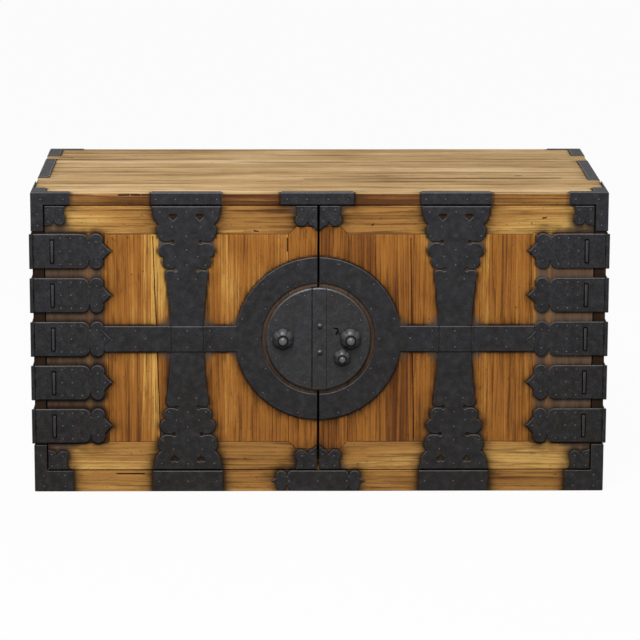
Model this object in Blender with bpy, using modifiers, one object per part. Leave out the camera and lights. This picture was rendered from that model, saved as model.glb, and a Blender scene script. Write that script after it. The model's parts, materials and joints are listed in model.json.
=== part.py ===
"""Choba tansu: a merchant's counter chest with two iron-bound doors on long strap hinges.

Metres, +Z up. The origin is the middle of the underside, and the doors face -Y.
"""
import math

import bmesh
import bpy
from mathutils import Matrix, Vector

OBJECT_NAME = "choba_tansu"
LEFT = -1
RIGHT = 1
SIDE_NAMES = {LEFT: "left", RIGHT: "right"}

# Case
WIDTH = 0.909
DEPTH = 0.454
HEIGHT = 0.485
TOP_T = 0.018
BOTTOM_T = 0.035
SIDE_T = 0.0185
BACK_T = 0.009
BACK_LAP = 0.010
SHELF_T = 0.012
SHELF_Z = 0.304
DADO_DEPTH = 0.006
TONGUE_T = 0.006
TONGUE_H = 0.007
TONGUE_SETBACK = 0.014
FIT = 0.0003

# Doors
DOOR_T = 0.022
DOOR_GAP = 0.0015
SEAM_GAP = 0.0032
SEAM_X = -0.002
STOP_GAP = 0.0005
RAIL_H = 0.0455
HINGE_STILE_W = 0.0985
MEETING_STILE_W = 0.0455
HINGE_MITRE = 0.002
MEETING_MITRE = 0.012
PANEL_T = 0.014
PANEL_TONGUE_T = 0.006
STILE_GROOVE_D = 0.005
RAIL_GROOVE_D = 0.007
PANEL_TONGUE_Y = 0.004
TENON_T = 0.0075
TENON_L = 0.016
TENON_SHOULDER = 0.014

# Ironwork on the case
IRON_T = 0.0015
CORNER_REACH = 0.060
CORNER_SIDE_REACH = 0.110
CORNER_TOP_W = 0.020
CORNER_TOP_REACH = 0.050
TOP_LIP = 0.014
BOTTOM_LEG_RISE = 0.042
EDGE_IRON_W = 0.111
CENTRE_IRON_W = 0.115
CENTRE_IRON_X = -0.0035
IRON_MARGIN = 0.0006
FOOT_MARGIN = 0.0010
CENTRE_PLATE_W = 0.1535
CENTRE_PLATE_LOBE_R = 0.0085

# Hinges: five straps on each door, each with a knuckle between two on the case
HINGE_COUNT = 5
HINGE_INSET = 0.0448
STRAP_H = 0.0553
STRAP_T = 0.0025
STRAP_BODY_L = 0.083
STRAP_NOTCH_DEPTH = 0.013
STRAP_LOBE_R = 0.011
STRAP_L = 0.124
STRAP_RIB_AT = 0.0315
STRAP_RIB_H = 0.036
STRAP_RIB_W = 0.0050
STRAP_RIB_T = 0.0034
LEAF_T = 0.002
LEAF_REACH = 0.036
BARREL_R = 0.0033
BARREL_OUT = 0.0014
KNUCKLE_H = 0.0184
PIN_R = 0.0016

# Waist straps, cross bands and the round lock
WAIST_LEFT_REACH = 0.2105
WAIST_RIGHT_REACH = 0.2155
WAIST_END_W = 0.109
WAIST_MID_W = 0.0534
WAIST_T = 0.0015
HEART_R = 0.0031
HEART_X = 0.021
HEART_DROP = 0.0155
SLIT_HOLE_R = 0.0031
SLIT_GAP = 0.0020
BAND_H = 0.0415
BAND_T = 0.0015
BAND_RAMP = 0.004
RING_R = 0.132
RING_HOLE_R = 0.0903
LOCK_R = 0.0835
LOCK_T = 0.0045
STRIP_LAP = 0.0095
STRIP_REACH = 0.0128
STRIP_T = 0.0050
STRIP_SLOT = 0.0011
RIVET_X = 0.0024
RIVET_OFFSET = 0.0215
RIVET_R = 0.0045
RIVET_PROUD = 0.0035
NOTCH_CLEARANCE = 0.0015
NOTCH_RISE = 0.0006
PULL_LEFT_REACH = 0.0563
PULL_RIGHT_REACH = 0.0513
PULL_R = 0.0172
PULL_PROUD = 0.020
PULL_SHANK_R = 0.0026
KNOB_LOBES = 6
KNOB_LOBE_SHARE = 0.03
KEYHOLE_REACH = 0.0308
KEYHOLE_RISE = 0.0130
KEYHOLE_H = 0.0125
KEYHOLE_W = 0.0026

# Latch behind the doors: a turned lever slides the bolt into its keeper
LATCH_REACH = 0.0381
LATCH_DROP = 0.0303
LATCH_R = 0.0138
LATCH_PROUD = 0.018
SPINDLE_R = 0.003
SPINDLE_PLAY = 0.0005
LEVER_L = 0.024
LEVER_T = 0.004
LEVER_W = 0.003
LEVER_TIP_R = 0.0025
LEVER_BOSS_R = 0.006
LEVER_SWING = 60.0
BOLT_T = 0.005
BOLT_H = 0.012
BOLT_RISE = 0.019
BOLT_TAIL = 0.0065
BOLT_PLAY = 0.0006
CASE_GAP = 0.0025
CASE_DEPTH = 0.015
CASE_WALL = 0.002
CASE_ROOM = 0.003
KEEPER_W = 0.013
KEEPER_WALL = 0.003
KEEPER_ROOM = 0.0009

ARC_STEPS = 8
ROUND_STEPS = 48
MERGE = 0.000002
SAME_POINT = 0.00001

# Planes and heights that several pieces share
FRONT = -DEPTH / 2
BACK = DEPTH / 2
SIDE_X = WIDTH / 2
INNER_X = SIDE_X - SIDE_T
DOOR_LOW = BOTTOM_T + DOOR_GAP
DOOR_HIGH = HEIGHT - TOP_T - DOOR_GAP
DOOR_OUTER = INNER_X - DOOR_GAP
DOOR_INNER = SEAM_GAP / 2
DOOR_BACK = FRONT + DOOR_T
LOCK_Z = (DOOR_LOW + DOOR_HIGH) / 2
LATCH_X = SEAM_X + LATCH_REACH
LATCH_Z = LOCK_Z - LATCH_DROP
PULL_X = {LEFT: SEAM_X - PULL_LEFT_REACH, RIGHT: SEAM_X + PULL_RIGHT_REACH}
WAIST_X = {LEFT: -WAIST_LEFT_REACH, RIGHT: WAIST_RIGHT_REACH}
HINGE_PITCH = (DOOR_HIGH - DOOR_LOW - 2 * HINGE_INSET - STRAP_H) / (HINGE_COUNT - 1)
PANEL_OUTER = DOOR_OUTER - HINGE_STILE_W
PANEL_INNER = DOOR_INNER + MEETING_STILE_W
PIVOT_X = SIDE_X + BARREL_OUT
PIVOT_Y = FRONT - FIT - BARREL_R
WOOD_SEAT = FRONT - FIT
LOCK_FACE = WOOD_SEAT - LOCK_T
BOLT_BACK = DOOR_BACK + FIT + CASE_DEPTH - CASE_WALL - FIT
BOLT_LOW = LATCH_Z + BOLT_RISE
CASE_EDGE = SEAM_X + DOOR_INNER + CASE_GAP
BOLT_TIP = CASE_EDGE + FIT
LEVER_REST = math.radians(LEVER_SWING / 2)
LEVER_TIP_X = LATCH_X + LEVER_L * math.sin(LEVER_REST)
BEYOND = 0.050
SUNK = 0.0010

PARTS = bpy.data.collections.new(OBJECT_NAME)
CUTTERS = bpy.data.collections.new(OBJECT_NAME + "_cutters")


def clear_scene():
    """Empty the scene and link the collections for the parts and their cutters."""
    for obj in list(bpy.data.objects):
        bpy.data.objects.remove(obj)
    bpy.context.scene.collection.children.link(PARTS)
    bpy.context.scene.collection.children.link(CUTTERS)


def finish(name, colour, roughness, metallic):
    """A plain Principled material."""
    material = bpy.data.materials.new(name)
    material.use_nodes = True
    shader = material.node_tree.nodes["Principled BSDF"]
    shader.inputs["Base Color"].default_value = (*colour, 1.0)
    shader.inputs["Roughness"].default_value = roughness
    shader.inputs["Metallic"].default_value = metallic
    return material


FRONT_WOOD = finish("lacquered_keyaki", (0.42, 0.20, 0.055), 0.45, 0.0)
CASE_WOOD = finish("lacquered_cedar", (0.40, 0.25, 0.11), 0.55, 0.0)
INSIDE_WOOD = finish("bare_paulownia", (0.46, 0.33, 0.19), 0.75, 0.0)
PLATE_IRON = finish("blackened_iron", (0.028, 0.028, 0.031), 0.50, 0.85)
LOCK_IRON = finish("forged_lock_iron", (0.045, 0.044, 0.045), 0.45, 0.85)


# Making and joining shapes


def place(name, data, location=(0.0, 0.0, 0.0), rotation=(0.0, 0.0, 0.0)):
    obj = bpy.data.objects.new(name, data)
    obj.location = location
    obj.rotation_euler = rotation
    PARTS.objects.link(obj)
    return obj


def box(name, corner, opposite):
    """A box between two opposite corners, with its origin at its middle."""
    low = Vector(map(min, corner, opposite))
    high = Vector(map(max, corner, opposite))
    shape = bmesh.new()
    bmesh.ops.create_cube(shape, size=1.0)
    bmesh.ops.scale(shape, vec=high - low, verts=shape.verts)
    mesh = bpy.data.meshes.new(name)
    shape.to_mesh(mesh)
    shape.free()
    return place(name, mesh, (low + high) / 2)


def rod(name, radius, start, end, steps=16):
    """A round rod between two points."""
    start = Vector(start)
    end = Vector(end)
    axis = end - start
    shape = bmesh.new()
    ends = {"radius1": radius, "radius2": radius, "depth": axis.length}
    bmesh.ops.create_cone(shape, cap_ends=True, segments=steps, **ends)
    mesh = bpy.data.meshes.new(name)
    shape.to_mesh(mesh)
    shape.free()
    turn = Vector((0.0, 0.0, 1.0)).rotation_difference(axis).to_euler()
    return place(name, mesh, (start + end) / 2, turn)


def mesh_from(source):
    """Turn an object with its modifiers, or a curve, into a plain closed mesh object of the same name."""
    name = source.name
    bpy.context.view_layer.update()
    evaluated = source.evaluated_get(bpy.context.evaluated_depsgraph_get())
    mesh = bpy.data.meshes.new_from_object(evaluated)
    shape = bmesh.new()
    shape.from_mesh(mesh)
    bmesh.ops.remove_doubles(shape, verts=shape.verts, dist=MERGE)
    bmesh.ops.recalc_face_normals(shape, faces=shape.faces)
    shape.to_mesh(mesh)
    shape.free()
    mesh.shade_flat()
    location = source.location.copy()
    rotation = source.rotation_euler.copy()
    bpy.data.objects.remove(source)
    mesh.name = name
    return place(name, mesh, location, rotation)


def plate(name, outline, front, thickness, holes=()):
    """A flat plate parallel to the front, from an outline in X and Z and any holes through it."""
    curve = bpy.data.curves.new(name, "CURVE")
    curve.dimensions = "2D"
    curve.fill_mode = "BOTH"
    curve.extrude = thickness / 2
    for loop in (outline, *holes):
        spline = curve.splines.new("POLY")
        spline.points.add(len(loop) - 1)
        for point, (x, z) in zip(spline.points, loop):
            point.co = (x, z, 0.0, 1.0)
        spline.use_cyclic_u = True
    return mesh_from(place(name, curve, (0.0, front + thickness / 2, 0.0), (math.pi / 2, 0.0, 0.0)))


def combine(target, tool, operation):
    """Cut a piece by a hidden tool, or join the tool's shape to it."""
    PARTS.objects.unlink(tool)
    CUTTERS.objects.link(tool)
    tool.hide_render = True
    tool.display_type = "WIRE"
    modifier = target.modifiers.new(tool.name, "BOOLEAN")
    modifier.operation = operation
    modifier.solver = "EXACT"
    modifier.object = tool


def cut(target, tool):
    combine(target, tool, "DIFFERENCE")


def join(target, tool):
    combine(target, tool, "UNION")


def hang(pivot, material, *pieces):
    """Give pieces their material and hang them on the empty that carries them."""
    for piece in pieces:
        piece.data.materials.append(material)
        piece.parent = pivot
        piece.matrix_parent_inverse = Matrix.Translation(pivot.location).inverted()


def carrier(name, location, parent=None):
    """An empty on a joint's axis."""
    empty = place(name, None, location)
    if parent:
        empty.parent = parent
        empty.matrix_parent_inverse = Matrix.Translation(parent.location).inverted()
        empty.location = location
    return empty


# Outlines


def arc(centre, radius, start, end, steps=ARC_STEPS):
    """Points on an arc, from one angle to another in degrees."""
    points = []
    for step in range(steps + 1):
        angle = math.radians(start + (end - start) * step / steps)
        points.append((centre[0] + radius * math.cos(angle), centre[1] + radius * math.sin(angle)))
    return points


def arc_through(first, middle, last, steps=ARC_STEPS):
    """Points on the arc from the first point through the middle one to the last."""
    ax, ay = first
    bx, by = middle
    cx, cy = last
    twice = 2 * (ax * (by - cy) + bx * (cy - ay) + cx * (ay - by))
    a2 = ax * ax + ay * ay
    b2 = bx * bx + by * by
    c2 = cx * cx + cy * cy
    ux = (a2 * (by - cy) + b2 * (cy - ay) + c2 * (ay - by)) / twice
    uy = (a2 * (cx - bx) + b2 * (ax - cx) + c2 * (bx - ax)) / twice
    start = math.degrees(math.atan2(ay - uy, ax - ux))
    end = math.degrees(math.atan2(cy - uy, cx - ux))
    if twice > 0 and end < start:
        end += 360
    if twice < 0 and end > start:
        end -= 360
    return arc((ux, uy), math.hypot(ax - ux, ay - uy), start, end, steps)


def without_repeats(points):
    """Drop points that fall on the one before."""
    kept = []
    for point in points:
        if not kept or math.dist(point, kept[-1]) > SAME_POINT:
            kept.append(point)
    if math.dist(kept[0], kept[-1]) < SAME_POINT:
        kept.pop()
    return kept


def four_ways(quarter):
    """A closed outline from its quarter, which runs from the X axis to the Z axis."""
    half = quarter + [(-x, z) for x, z in reversed(quarter)]
    return without_repeats(half + [(-x, -z) for x, z in half])


def moved(outline, x, z, side=RIGHT):
    return [(side * px + x, pz + z) for px, pz in outline]


def circle(x, z, radius, steps=16):
    return arc((x, z), radius, 0, 360, steps)[:-1]


def stadium(start, end, width):
    """A slot with round ends between two points."""
    along = math.degrees(math.atan2(end[1] - start[1], end[0] - start[0]))
    near = arc(start, width / 2, along + 90, along + 270, 6)
    return near + arc(end, width / 2, along - 90, along + 90, 6)


def from_seam(distance, side):
    """How far a place on one door, given from the seam, lies from the middle of the chest."""
    return distance + side * SEAM_X


def heart(x, z, up):
    """A boar's-eye cut-out: two round lobes and a point."""
    lobes = arc((HEART_R, 0.0), HEART_R, -50, 180, 6) + arc((-HEART_R, 0.0), HEART_R, 0, 230, 6)[1:]
    point = (0.0, -2.4 * HEART_R)
    return [(x + px, z + up * pz) for px, pz in [point] + lobes]


def strap_outline(grow=0.0):
    """A hinge strap seen from the front: along from the corner of the chest, and up from its middle."""
    half = STRAP_H / 2 + grow
    start = BARREL_R - BARREL_OUT + FIT
    lobe_x = STRAP_BODY_L + STRAP_LOBE_R + 0.007
    lobe_rise = STRAP_H / 2 - STRAP_LOBE_R + 0.0008
    notch = (lobe_x - STRAP_LOBE_R - 0.0005, STRAP_H / 2 - STRAP_NOTCH_DEPTH + grow)
    neck = (STRAP_BODY_L + 0.0045, half - 0.0055)
    upper = [(start, half)]
    upper += arc_through((STRAP_BODY_L - 0.004, half), neck, notch, 5)
    upper += arc((lobe_x, lobe_rise), STRAP_LOBE_R + grow, 192, -22, 12)
    shoulder = upper[-1]
    tip = (STRAP_L + 1.4 * grow, 0.0)
    bend = ((shoulder[0] + tip[0]) / 2 - 0.0004, shoulder[1] / 2 - 0.0006)
    upper += arc_through(shoulder, bend, tip, 4)[1:]
    return upper + [(x, -z) for x, z in reversed(upper[:-1])]


def slit(x, drop, end):
    """A narrow slit with a round eye, cut in from the edge of a waist strap; drop is from the strap's end."""
    rise = end - drop
    half_gap = SLIT_GAP / 2
    lean = math.degrees(math.asin(half_gap / SLIT_HOLE_R))
    return arc((x, rise), SLIT_HOLE_R, -lean, lean - 360, 9)


def waist_outline(half_length):
    """A waist strap about its middle: a slender shaft that flares into lobed ends cut by slits."""
    mid = WAIST_MID_W / 2
    end_w = WAIST_END_W / 2

    def at(inset, drop):
        return (end_w - inset, half_length - drop)

    gap = SLIT_GAP / 2
    shaft_top = at(0.0210, 0.1105)
    lower_slit = (0.0176, 0.1017)
    upper_slit = (0.0222, 0.0575)
    quarter = [(mid, 0.0), (mid, BAND_H / 2)]
    bend = ((mid + shaft_top[0]) / 2 - 0.0013, (BAND_H / 2 + shaft_top[1]) / 2)
    quarter += arc_through((mid, BAND_H / 2), bend, shaft_top, 6)
    quarter += arc_through(shaft_top, at(0.0225, 0.1052), at(0.0295, 0.1017 + gap), 5)
    quarter += slit(lower_slit[0], lower_slit[1], half_length)
    quarter += arc_through(at(0.0295, 0.1017 - gap), at(0.0190, 0.0970), at(0.0162, 0.0885), 6)
    quarter += [at(0.0175, 0.0820)]
    quarter += arc_through(at(0.0175, 0.0820), at(0.0102, 0.0725), at(0.0128, 0.0640), 6)
    quarter += arc_through(at(0.0128, 0.0640), at(0.0170, 0.0600), at(0.0245, 0.0575 + gap), 4)
    quarter += slit(upper_slit[0], upper_slit[1], half_length)
    quarter += arc_through(at(0.0245, 0.0575 - gap), at(0.0125, 0.0535), at(0.0086, 0.0455), 6)
    quarter += arc_through(at(0.0086, 0.0455), at(0.0078, 0.0370), at(0.0116, 0.0295), 5)
    quarter += arc_through(at(0.0116, 0.0295), at(0.0040, 0.0200), at(0.0020, 0.0095), 5)
    quarter += [at(0.0, 0.0), (0.0, half_length)]
    return four_ways(without_repeats(quarter))


def band_of_ring(radius_out, radius_in, edge):
    """Half a ring or a disc to the right of a straight edge; no inner radius leaves no hole."""
    out = math.degrees(math.acos(edge / radius_out))
    points = arc((0.0, 0.0), radius_out, -out, out, ROUND_STEPS // 2)
    if radius_in:
        inner = math.degrees(math.acos(edge / radius_in))
        points += arc((0.0, 0.0), radius_in, inner, -inner, ROUND_STEPS // 2)
    return points


def centre_plate_outline():
    """The long plate under the doors: straight in the middle, with a lobe and a point at each end."""
    tip = CENTRE_PLATE_W / 2
    half = (BOTTOM_T - FOOT_MARGIN - IRON_MARGIN) / 2
    lobe = CENTRE_PLATE_LOBE_R
    lobe_x = tip - 2.1 * lobe
    body = lobe_x - 1.9 * lobe
    quarter = [(tip, 0.0)]
    cheek = (lobe_x + 0.95 * lobe, 0.55 * lobe)
    quarter += arc_through((tip, 0.0), (tip - 0.7 * lobe, 0.22 * lobe), cheek, 4)[1:]
    quarter += arc((lobe_x, half - lobe), lobe, -15, 185, 10)
    cusp = (body + 0.8 * lobe, half - 1.1 * lobe)
    quarter += arc_through(cusp, (body + 0.62 * lobe, half - 0.5 * lobe), (body, half), 4)
    quarter += [(0.0, half)]
    return four_ways(without_repeats(quarter))


# Case


def case_board(name, corner, opposite, material, root):
    board = box(name, corner, opposite)
    hang(root, material, board)
    return board


def grown(name, corner, opposite, by=FIT):
    """A cutter for a pocket that takes the box between two corners with a small gap all round."""
    low = [min(pair) - by for pair in zip(corner, opposite)]
    high = [max(pair) + by for pair in zip(corner, opposite)]
    return box(name, low, high)


def make_case(root):
    """Top, bottom, sides, back and shelf, with tongues, dadoes and a rebate for the back."""
    top_corners = ((-SIDE_X, FRONT, HEIGHT - TOP_T), (SIDE_X, BACK, HEIGHT))
    top = case_board("top_board", *top_corners, CASE_WOOD, root)
    bottom_corners = ((-SIDE_X, FRONT, 0.0), (SIDE_X, BACK, BOTTOM_T))
    bottom = case_board("bottom_board", *bottom_corners, FRONT_WOOD, root)
    back_x = INNER_X + BACK_LAP
    back_low = BOTTOM_T - BACK_LAP
    back_high = HEIGHT - TOP_T + BACK_LAP
    back_corners = ((-back_x, BACK - BACK_T, back_low), (back_x, BACK, back_high))
    case_board("back_board", *back_corners, INSIDE_WOOD, root)
    rebate = ((-back_x, BACK - BACK_T, back_low), (back_x, BACK + BEYOND, back_high))
    shelf_x = INNER_X + DADO_DEPTH
    shelf_corners = (
        (-shelf_x, DOOR_BACK + STOP_GAP, SHELF_Z),
        (shelf_x, BACK - BACK_T - FIT, SHELF_Z + SHELF_T),
    )
    case_board("shelf", *shelf_corners, INSIDE_WOOD, root)
    cut(top, grown("top_rebate", *rebate))
    cut(bottom, grown("bottom_rebate", *rebate))
    for side, word in SIDE_NAMES.items():
        low = BOTTOM_T + FIT
        high = HEIGHT - TOP_T - FIT
        side_corners = ((side * SIDE_X, FRONT, low), (side * INNER_X, BACK, high))
        board = case_board(f"{word}_side_board", *side_corners, FRONT_WOOD, root)
        tongue_x = side * (SIDE_X + INNER_X) / 2
        tongue_y = (FRONT + TONGUE_SETBACK, BACK - BACK_T - TONGUE_SETBACK)
        for neighbour, place_name, start, end in (
            (top, "top", high - SUNK, high + TONGUE_H),
            (bottom, "bottom", low + SUNK, low - TONGUE_H),
        ):
            tongue = (
                (tongue_x - TONGUE_T / 2, tongue_y[0], start),
                (tongue_x + TONGUE_T / 2, tongue_y[1], end),
            )
            join(board, box(f"{word}_{place_name}_tongue", *tongue))
            cut(neighbour, grown(f"{word}_{place_name}_groove", *tongue))
        cut(board, grown(f"{word}_rebate", *rebate))
        cut(board, grown(f"{word}_dado", *shelf_corners))


# Ironwork on the case


def corner_iron(name, side, top):
    """A folded corner plate: an L on the front and on the side, and above also a strip over the top."""
    skin = FIT + IRON_T
    leg_w = SIDE_T - IRON_MARGIN
    if top:
        edge, inward, leg_end = HEIGHT, -1, HEIGHT - CORNER_REACH
        band_end = HEIGHT - TOP_T + IRON_MARGIN
        outer_end = HEIGHT + skin
        hollow_end = HEIGHT + FIT
    else:
        edge, inward, leg_end = FOOT_MARGIN, 1, BOTTOM_T + BOTTOM_LEG_RISE
        band_end = BOTTOM_T - IRON_MARGIN
        outer_end = edge
        hollow_end = edge - BEYOND
    far = leg_end + inward * BEYOND

    def x_in(distance):
        return side * (SIDE_X - distance)

    reach_y = FRONT + CORNER_SIDE_REACH
    far_y = reach_y + BEYOND
    iron = box(name, (x_in(-skin), FRONT - skin, outer_end), (x_in(CORNER_REACH), reach_y, leg_end))
    cut(iron, box(name + "_hollow", (x_in(-FIT), FRONT - FIT, hollow_end), (x_in(WIDTH), far_y, far)))
    front_trim = ((x_in(leg_w), FRONT - BEYOND, band_end), (x_in(WIDTH), FRONT, far))
    cut(iron, box(name + "_front_trim", *front_trim))
    side_trim = ((x_in(-BEYOND), FRONT + leg_w, band_end), (x_in(0.0), far_y, far))
    cut(iron, box(name + "_side_trim", *side_trim))
    if top:
        above = HEIGHT + FIT / 2
        top_trim = ((x_in(CORNER_TOP_W), FRONT + TOP_LIP, above), (x_in(WIDTH), far_y, above + BEYOND))
        cut(iron, box(name + "_top_trim", *top_trim))
        strip_trim = ((x_in(0.0), FRONT + CORNER_TOP_REACH, above), (x_in(WIDTH), far_y, above + BEYOND))
        cut(iron, box(name + "_strip_trim", *strip_trim))
    return iron


def top_edge_iron(name, x, width):
    """A plate on the front edge of the top board, folded back over the top."""
    skin = FIT + IRON_T
    low = HEIGHT - TOP_T + IRON_MARGIN
    iron = box(name, (x - width / 2, FRONT - skin, low), (x + width / 2, FRONT + TOP_LIP, HEIGHT + skin))
    hollow = ((x - width, FRONT - FIT, low - BEYOND), (x + width, FRONT + BEYOND, HEIGHT + FIT))
    cut(iron, box(name + "_hollow", *hollow))
    return iron


def make_case_irons(root):
    """The corner plates, and the plates in line with the waist straps and the lock."""
    irons = []
    for side, word in SIDE_NAMES.items():
        irons.append(corner_iron(f"top_{word}_corner_iron", side, top=True))
        irons.append(corner_iron(f"bottom_{word}_corner_iron", side, top=False))
        irons.append(top_edge_iron(f"top_{word}_edge_iron", WAIST_X[side], EDGE_IRON_W))
        lower = (
            (WAIST_X[side] - EDGE_IRON_W / 2, WOOD_SEAT - IRON_T, FOOT_MARGIN),
            (WAIST_X[side] + EDGE_IRON_W / 2, WOOD_SEAT, BOTTOM_T - IRON_MARGIN),
        )
        irons.append(box(f"bottom_{word}_edge_iron", *lower))
    irons.append(top_edge_iron("top_centre_edge_iron", CENTRE_IRON_X, CENTRE_IRON_W))
    middle = (FOOT_MARGIN + BOTTOM_T - IRON_MARGIN) / 2
    outline = moved(centre_plate_outline(), SEAM_X, middle)
    irons.append(plate("bottom_centre_iron", outline, WOOD_SEAT - IRON_T, IRON_T))
    hang(root, PLATE_IRON, *irons)


# Hinges


def hinge_heights():
    return [LOCK_Z + HINGE_PITCH * (HINGE_COUNT // 2 - index) for index in range(HINGE_COUNT)]


def hinge_leaf(name, side, z):
    """The case half of a hinge: a plate on the side, the two outer knuckles and the pin."""
    half = STRAP_H / 2
    pivot = (side * PIVOT_X, PIVOT_Y)
    inner = side * (SIDE_X + FIT)
    outer = side * (SIDE_X + FIT + LEAF_T)
    leaf = box(name, (inner, PIVOT_Y, z - half), (outer, FRONT + LEAF_REACH, z + half))
    join(leaf, rod(name + "_barrel", BARREL_R, (*pivot, z - half), (*pivot, z + half)))
    window = KNUCKLE_H / 2 + FIT
    room = BARREL_R + SUNK
    gap = ((pivot[0] - room, pivot[1] - room, z - window), (pivot[0] + room, FRONT + FIT + SUNK, z + window))
    cut(leaf, box(name + "_gap", *gap))
    join(leaf, rod(name + "_pin", PIN_R, (*pivot, z - half + SUNK), (*pivot, z + half - SUNK), 12))
    return leaf


def hinge_strap(name, side, z):
    """The door half of a hinge: a long strap with a lobed tip, a raised rib and the middle knuckle."""
    front = WOOD_SEAT - STRAP_T
    outline = [(side * (SIDE_X - along), z + up) for along, up in strap_outline()]
    strap = plate(name, outline, front, STRAP_T)
    rib_x = side * (SIDE_X - STRAP_RIB_AT)
    rib = box(
        name + "_rib",
        (rib_x - STRAP_RIB_W / 2, front - STRAP_RIB_T, z - STRAP_RIB_H / 2),
        (rib_x + STRAP_RIB_W / 2, front + SUNK, z + STRAP_RIB_H / 2),
    )
    join(strap, rib)
    half = KNUCKLE_H / 2
    pivot = (side * PIVOT_X, PIVOT_Y)
    inset = STRAP_T / 8
    tongue_end = side * (SIDE_X - BARREL_R - SUNK)
    tongue = ((pivot[0], front + inset, z - half), (tongue_end, WOOD_SEAT - inset, z + half))
    join(strap, box(name + "_tongue", *tongue))
    join(strap, rod(name + "_knuckle", BARREL_R, (*pivot, z - half), (*pivot, z + half)))
    bore = ((*pivot, z - STRAP_H), (*pivot, z + STRAP_H))
    cut(strap, rod(name + "_bore", PIN_R + FIT, *bore, 12))
    return strap


def make_hinges(root, doors):
    for side, word in SIDE_NAMES.items():
        for number, z in enumerate(hinge_heights(), start=1):
            hang(root, PLATE_IRON, hinge_leaf(f"{word}_hinge_leaf_{number}", side, z))
            hang(doors[side], PLATE_IRON, hinge_strap(f"{word}_hinge_strap_{number}", side, z))


# Doors


def rail_outline(top, side):
    """A rail with a mitred shoulder over each stile; X is the distance from the middle of the chest."""
    edge, inward = (DOOR_HIGH, -1) if top else (DOOR_LOW, 1)
    lip = edge + inward * RAIL_H
    meeting = lip - inward * MEETING_MITRE
    hinge = lip - inward * HINGE_MITRE
    inner = from_seam(DOOR_INNER, side)
    panel = from_seam(PANEL_INNER, side)
    return [
        (inner, edge),
        (inner, meeting),
        (panel - MEETING_MITRE, meeting),
        (panel, lip),
        (PANEL_OUTER, lip),
        (PANEL_OUTER + HINGE_MITRE, hinge),
        (DOOR_OUTER, hinge),
        (DOOR_OUTER, edge),
    ]


def stile_outline(outer, inner, mitre):
    """A stile between the rails: outer is its straight edge, inner its mitred edge along the panel."""
    toward = 1 if outer > inner else -1
    gap = FIT * math.sqrt(2)
    low = DOOR_LOW + RAIL_H - mitre + FIT
    high = DOOR_HIGH - RAIL_H + mitre - FIT
    slope = mitre + gap - FIT
    return [
        (outer, low),
        (inner + toward * slope, low),
        (inner, low + slope),
        (inner, high - slope),
        (inner + toward * slope, high),
        (outer, high),
    ]


def door_frame(side, word):
    """Two rails, two stiles tenoned into them, and a panel tongued into all four."""
    rails = {}
    for top in (True, False):
        name = f"{word}_{'top' if top else 'bottom'}_rail"
        rails[top] = plate(name, moved(rail_outline(top, side), 0.0, 0.0, side), FRONT, DOOR_T)
    stiles = []
    tenon_y = (FRONT + DOOR_BACK) / 2
    for kind, outer, inner, mitre in (
        ("hinge", DOOR_OUTER, PANEL_OUTER, HINGE_MITRE),
        ("meeting", from_seam(DOOR_INNER, side), from_seam(PANEL_INNER, side), MEETING_MITRE),
    ):
        name = f"{word}_{kind}_stile"
        stile = plate(name, moved(stile_outline(outer, inner, mitre), 0.0, 0.0, side), FRONT, DOOR_T)
        near = min(outer, inner) + TENON_SHOULDER
        far = max(outer, inner) - TENON_SHOULDER
        for top, rail in rails.items():
            shoulder = DOOR_HIGH - RAIL_H + mitre if top else DOOR_LOW + RAIL_H - mitre
            reach = TENON_L if top else -TENON_L
            root_z = shoulder - math.copysign(SUNK + FIT, reach)
            corners = (
                (side * near, tenon_y - TENON_T / 2, root_z),
                (side * far, tenon_y + TENON_T / 2, shoulder + reach),
            )
            ending = "top" if top else "bottom"
            join(stile, box(f"{name}_{ending}_tenon", *corners))
            cut(rail, grown(f"{name}_{ending}_mortise", *corners))
        stiles.append(stile)
    low = DOOR_LOW + RAIL_H + FIT
    high = DOOR_HIGH - RAIL_H - FIT
    near = from_seam(PANEL_INNER, side) + FIT
    far = PANEL_OUTER - FIT
    panel = box(f"{word}_panel", (side * near, FRONT, low), (side * far, FRONT + PANEL_T, high))
    tongue = (
        (side * (near - STILE_GROOVE_D), FRONT + PANEL_TONGUE_Y, low - RAIL_GROOVE_D),
        (side * (far + STILE_GROOVE_D), FRONT + PANEL_TONGUE_Y + PANEL_TONGUE_T, high + RAIL_GROOVE_D),
    )
    join(panel, box(f"{word}_panel_tongue", *tongue))
    for piece in (*rails.values(), *stiles):
        cut(piece, grown(piece.name + "_groove", *tongue))
    return rails, stiles, panel


def band_profile(side, start, end):
    """The cross band seen from above: flat on the door, and stepped over the waist strap."""
    low = WOOD_SEAT
    lift = WAIST_T + FIT
    step = WAIST_MID_W / 2 + FIT + SUNK
    middle = abs(WAIST_X[side])
    back_edge = [
        (start, low),
        (middle - step - BAND_RAMP, low),
        (middle - step, low - lift),
        (middle + step, low - lift),
        (middle + step + BAND_RAMP, low),
        (end, low),
    ]
    front_edge = [(x, y - BAND_T) for x, y in reversed(back_edge)]
    return [(side * x, y) for x, y in back_edge + front_edge]


def cross_band(name, side):
    """The band from the ring to the middle hinge strap, cut to the strap's tip."""
    start = from_seam((RING_R + RING_HOLE_R) / 2, side)
    end = SIDE_X - STRAP_BODY_L - STRAP_LOBE_R
    curve = bpy.data.curves.new(name, "CURVE")
    curve.dimensions = "2D"
    curve.fill_mode = "BOTH"
    curve.extrude = BAND_H / 2
    spline = curve.splines.new("POLY")
    profile = band_profile(side, start, end)
    spline.points.add(len(profile) - 1)
    for point, (x, y) in zip(spline.points, profile):
        point.co = (x, y, 0.0, 1.0)
    spline.use_cyclic_u = True
    return mesh_from(place(name, curve, (0.0, 0.0, LOCK_Z)))


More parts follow.
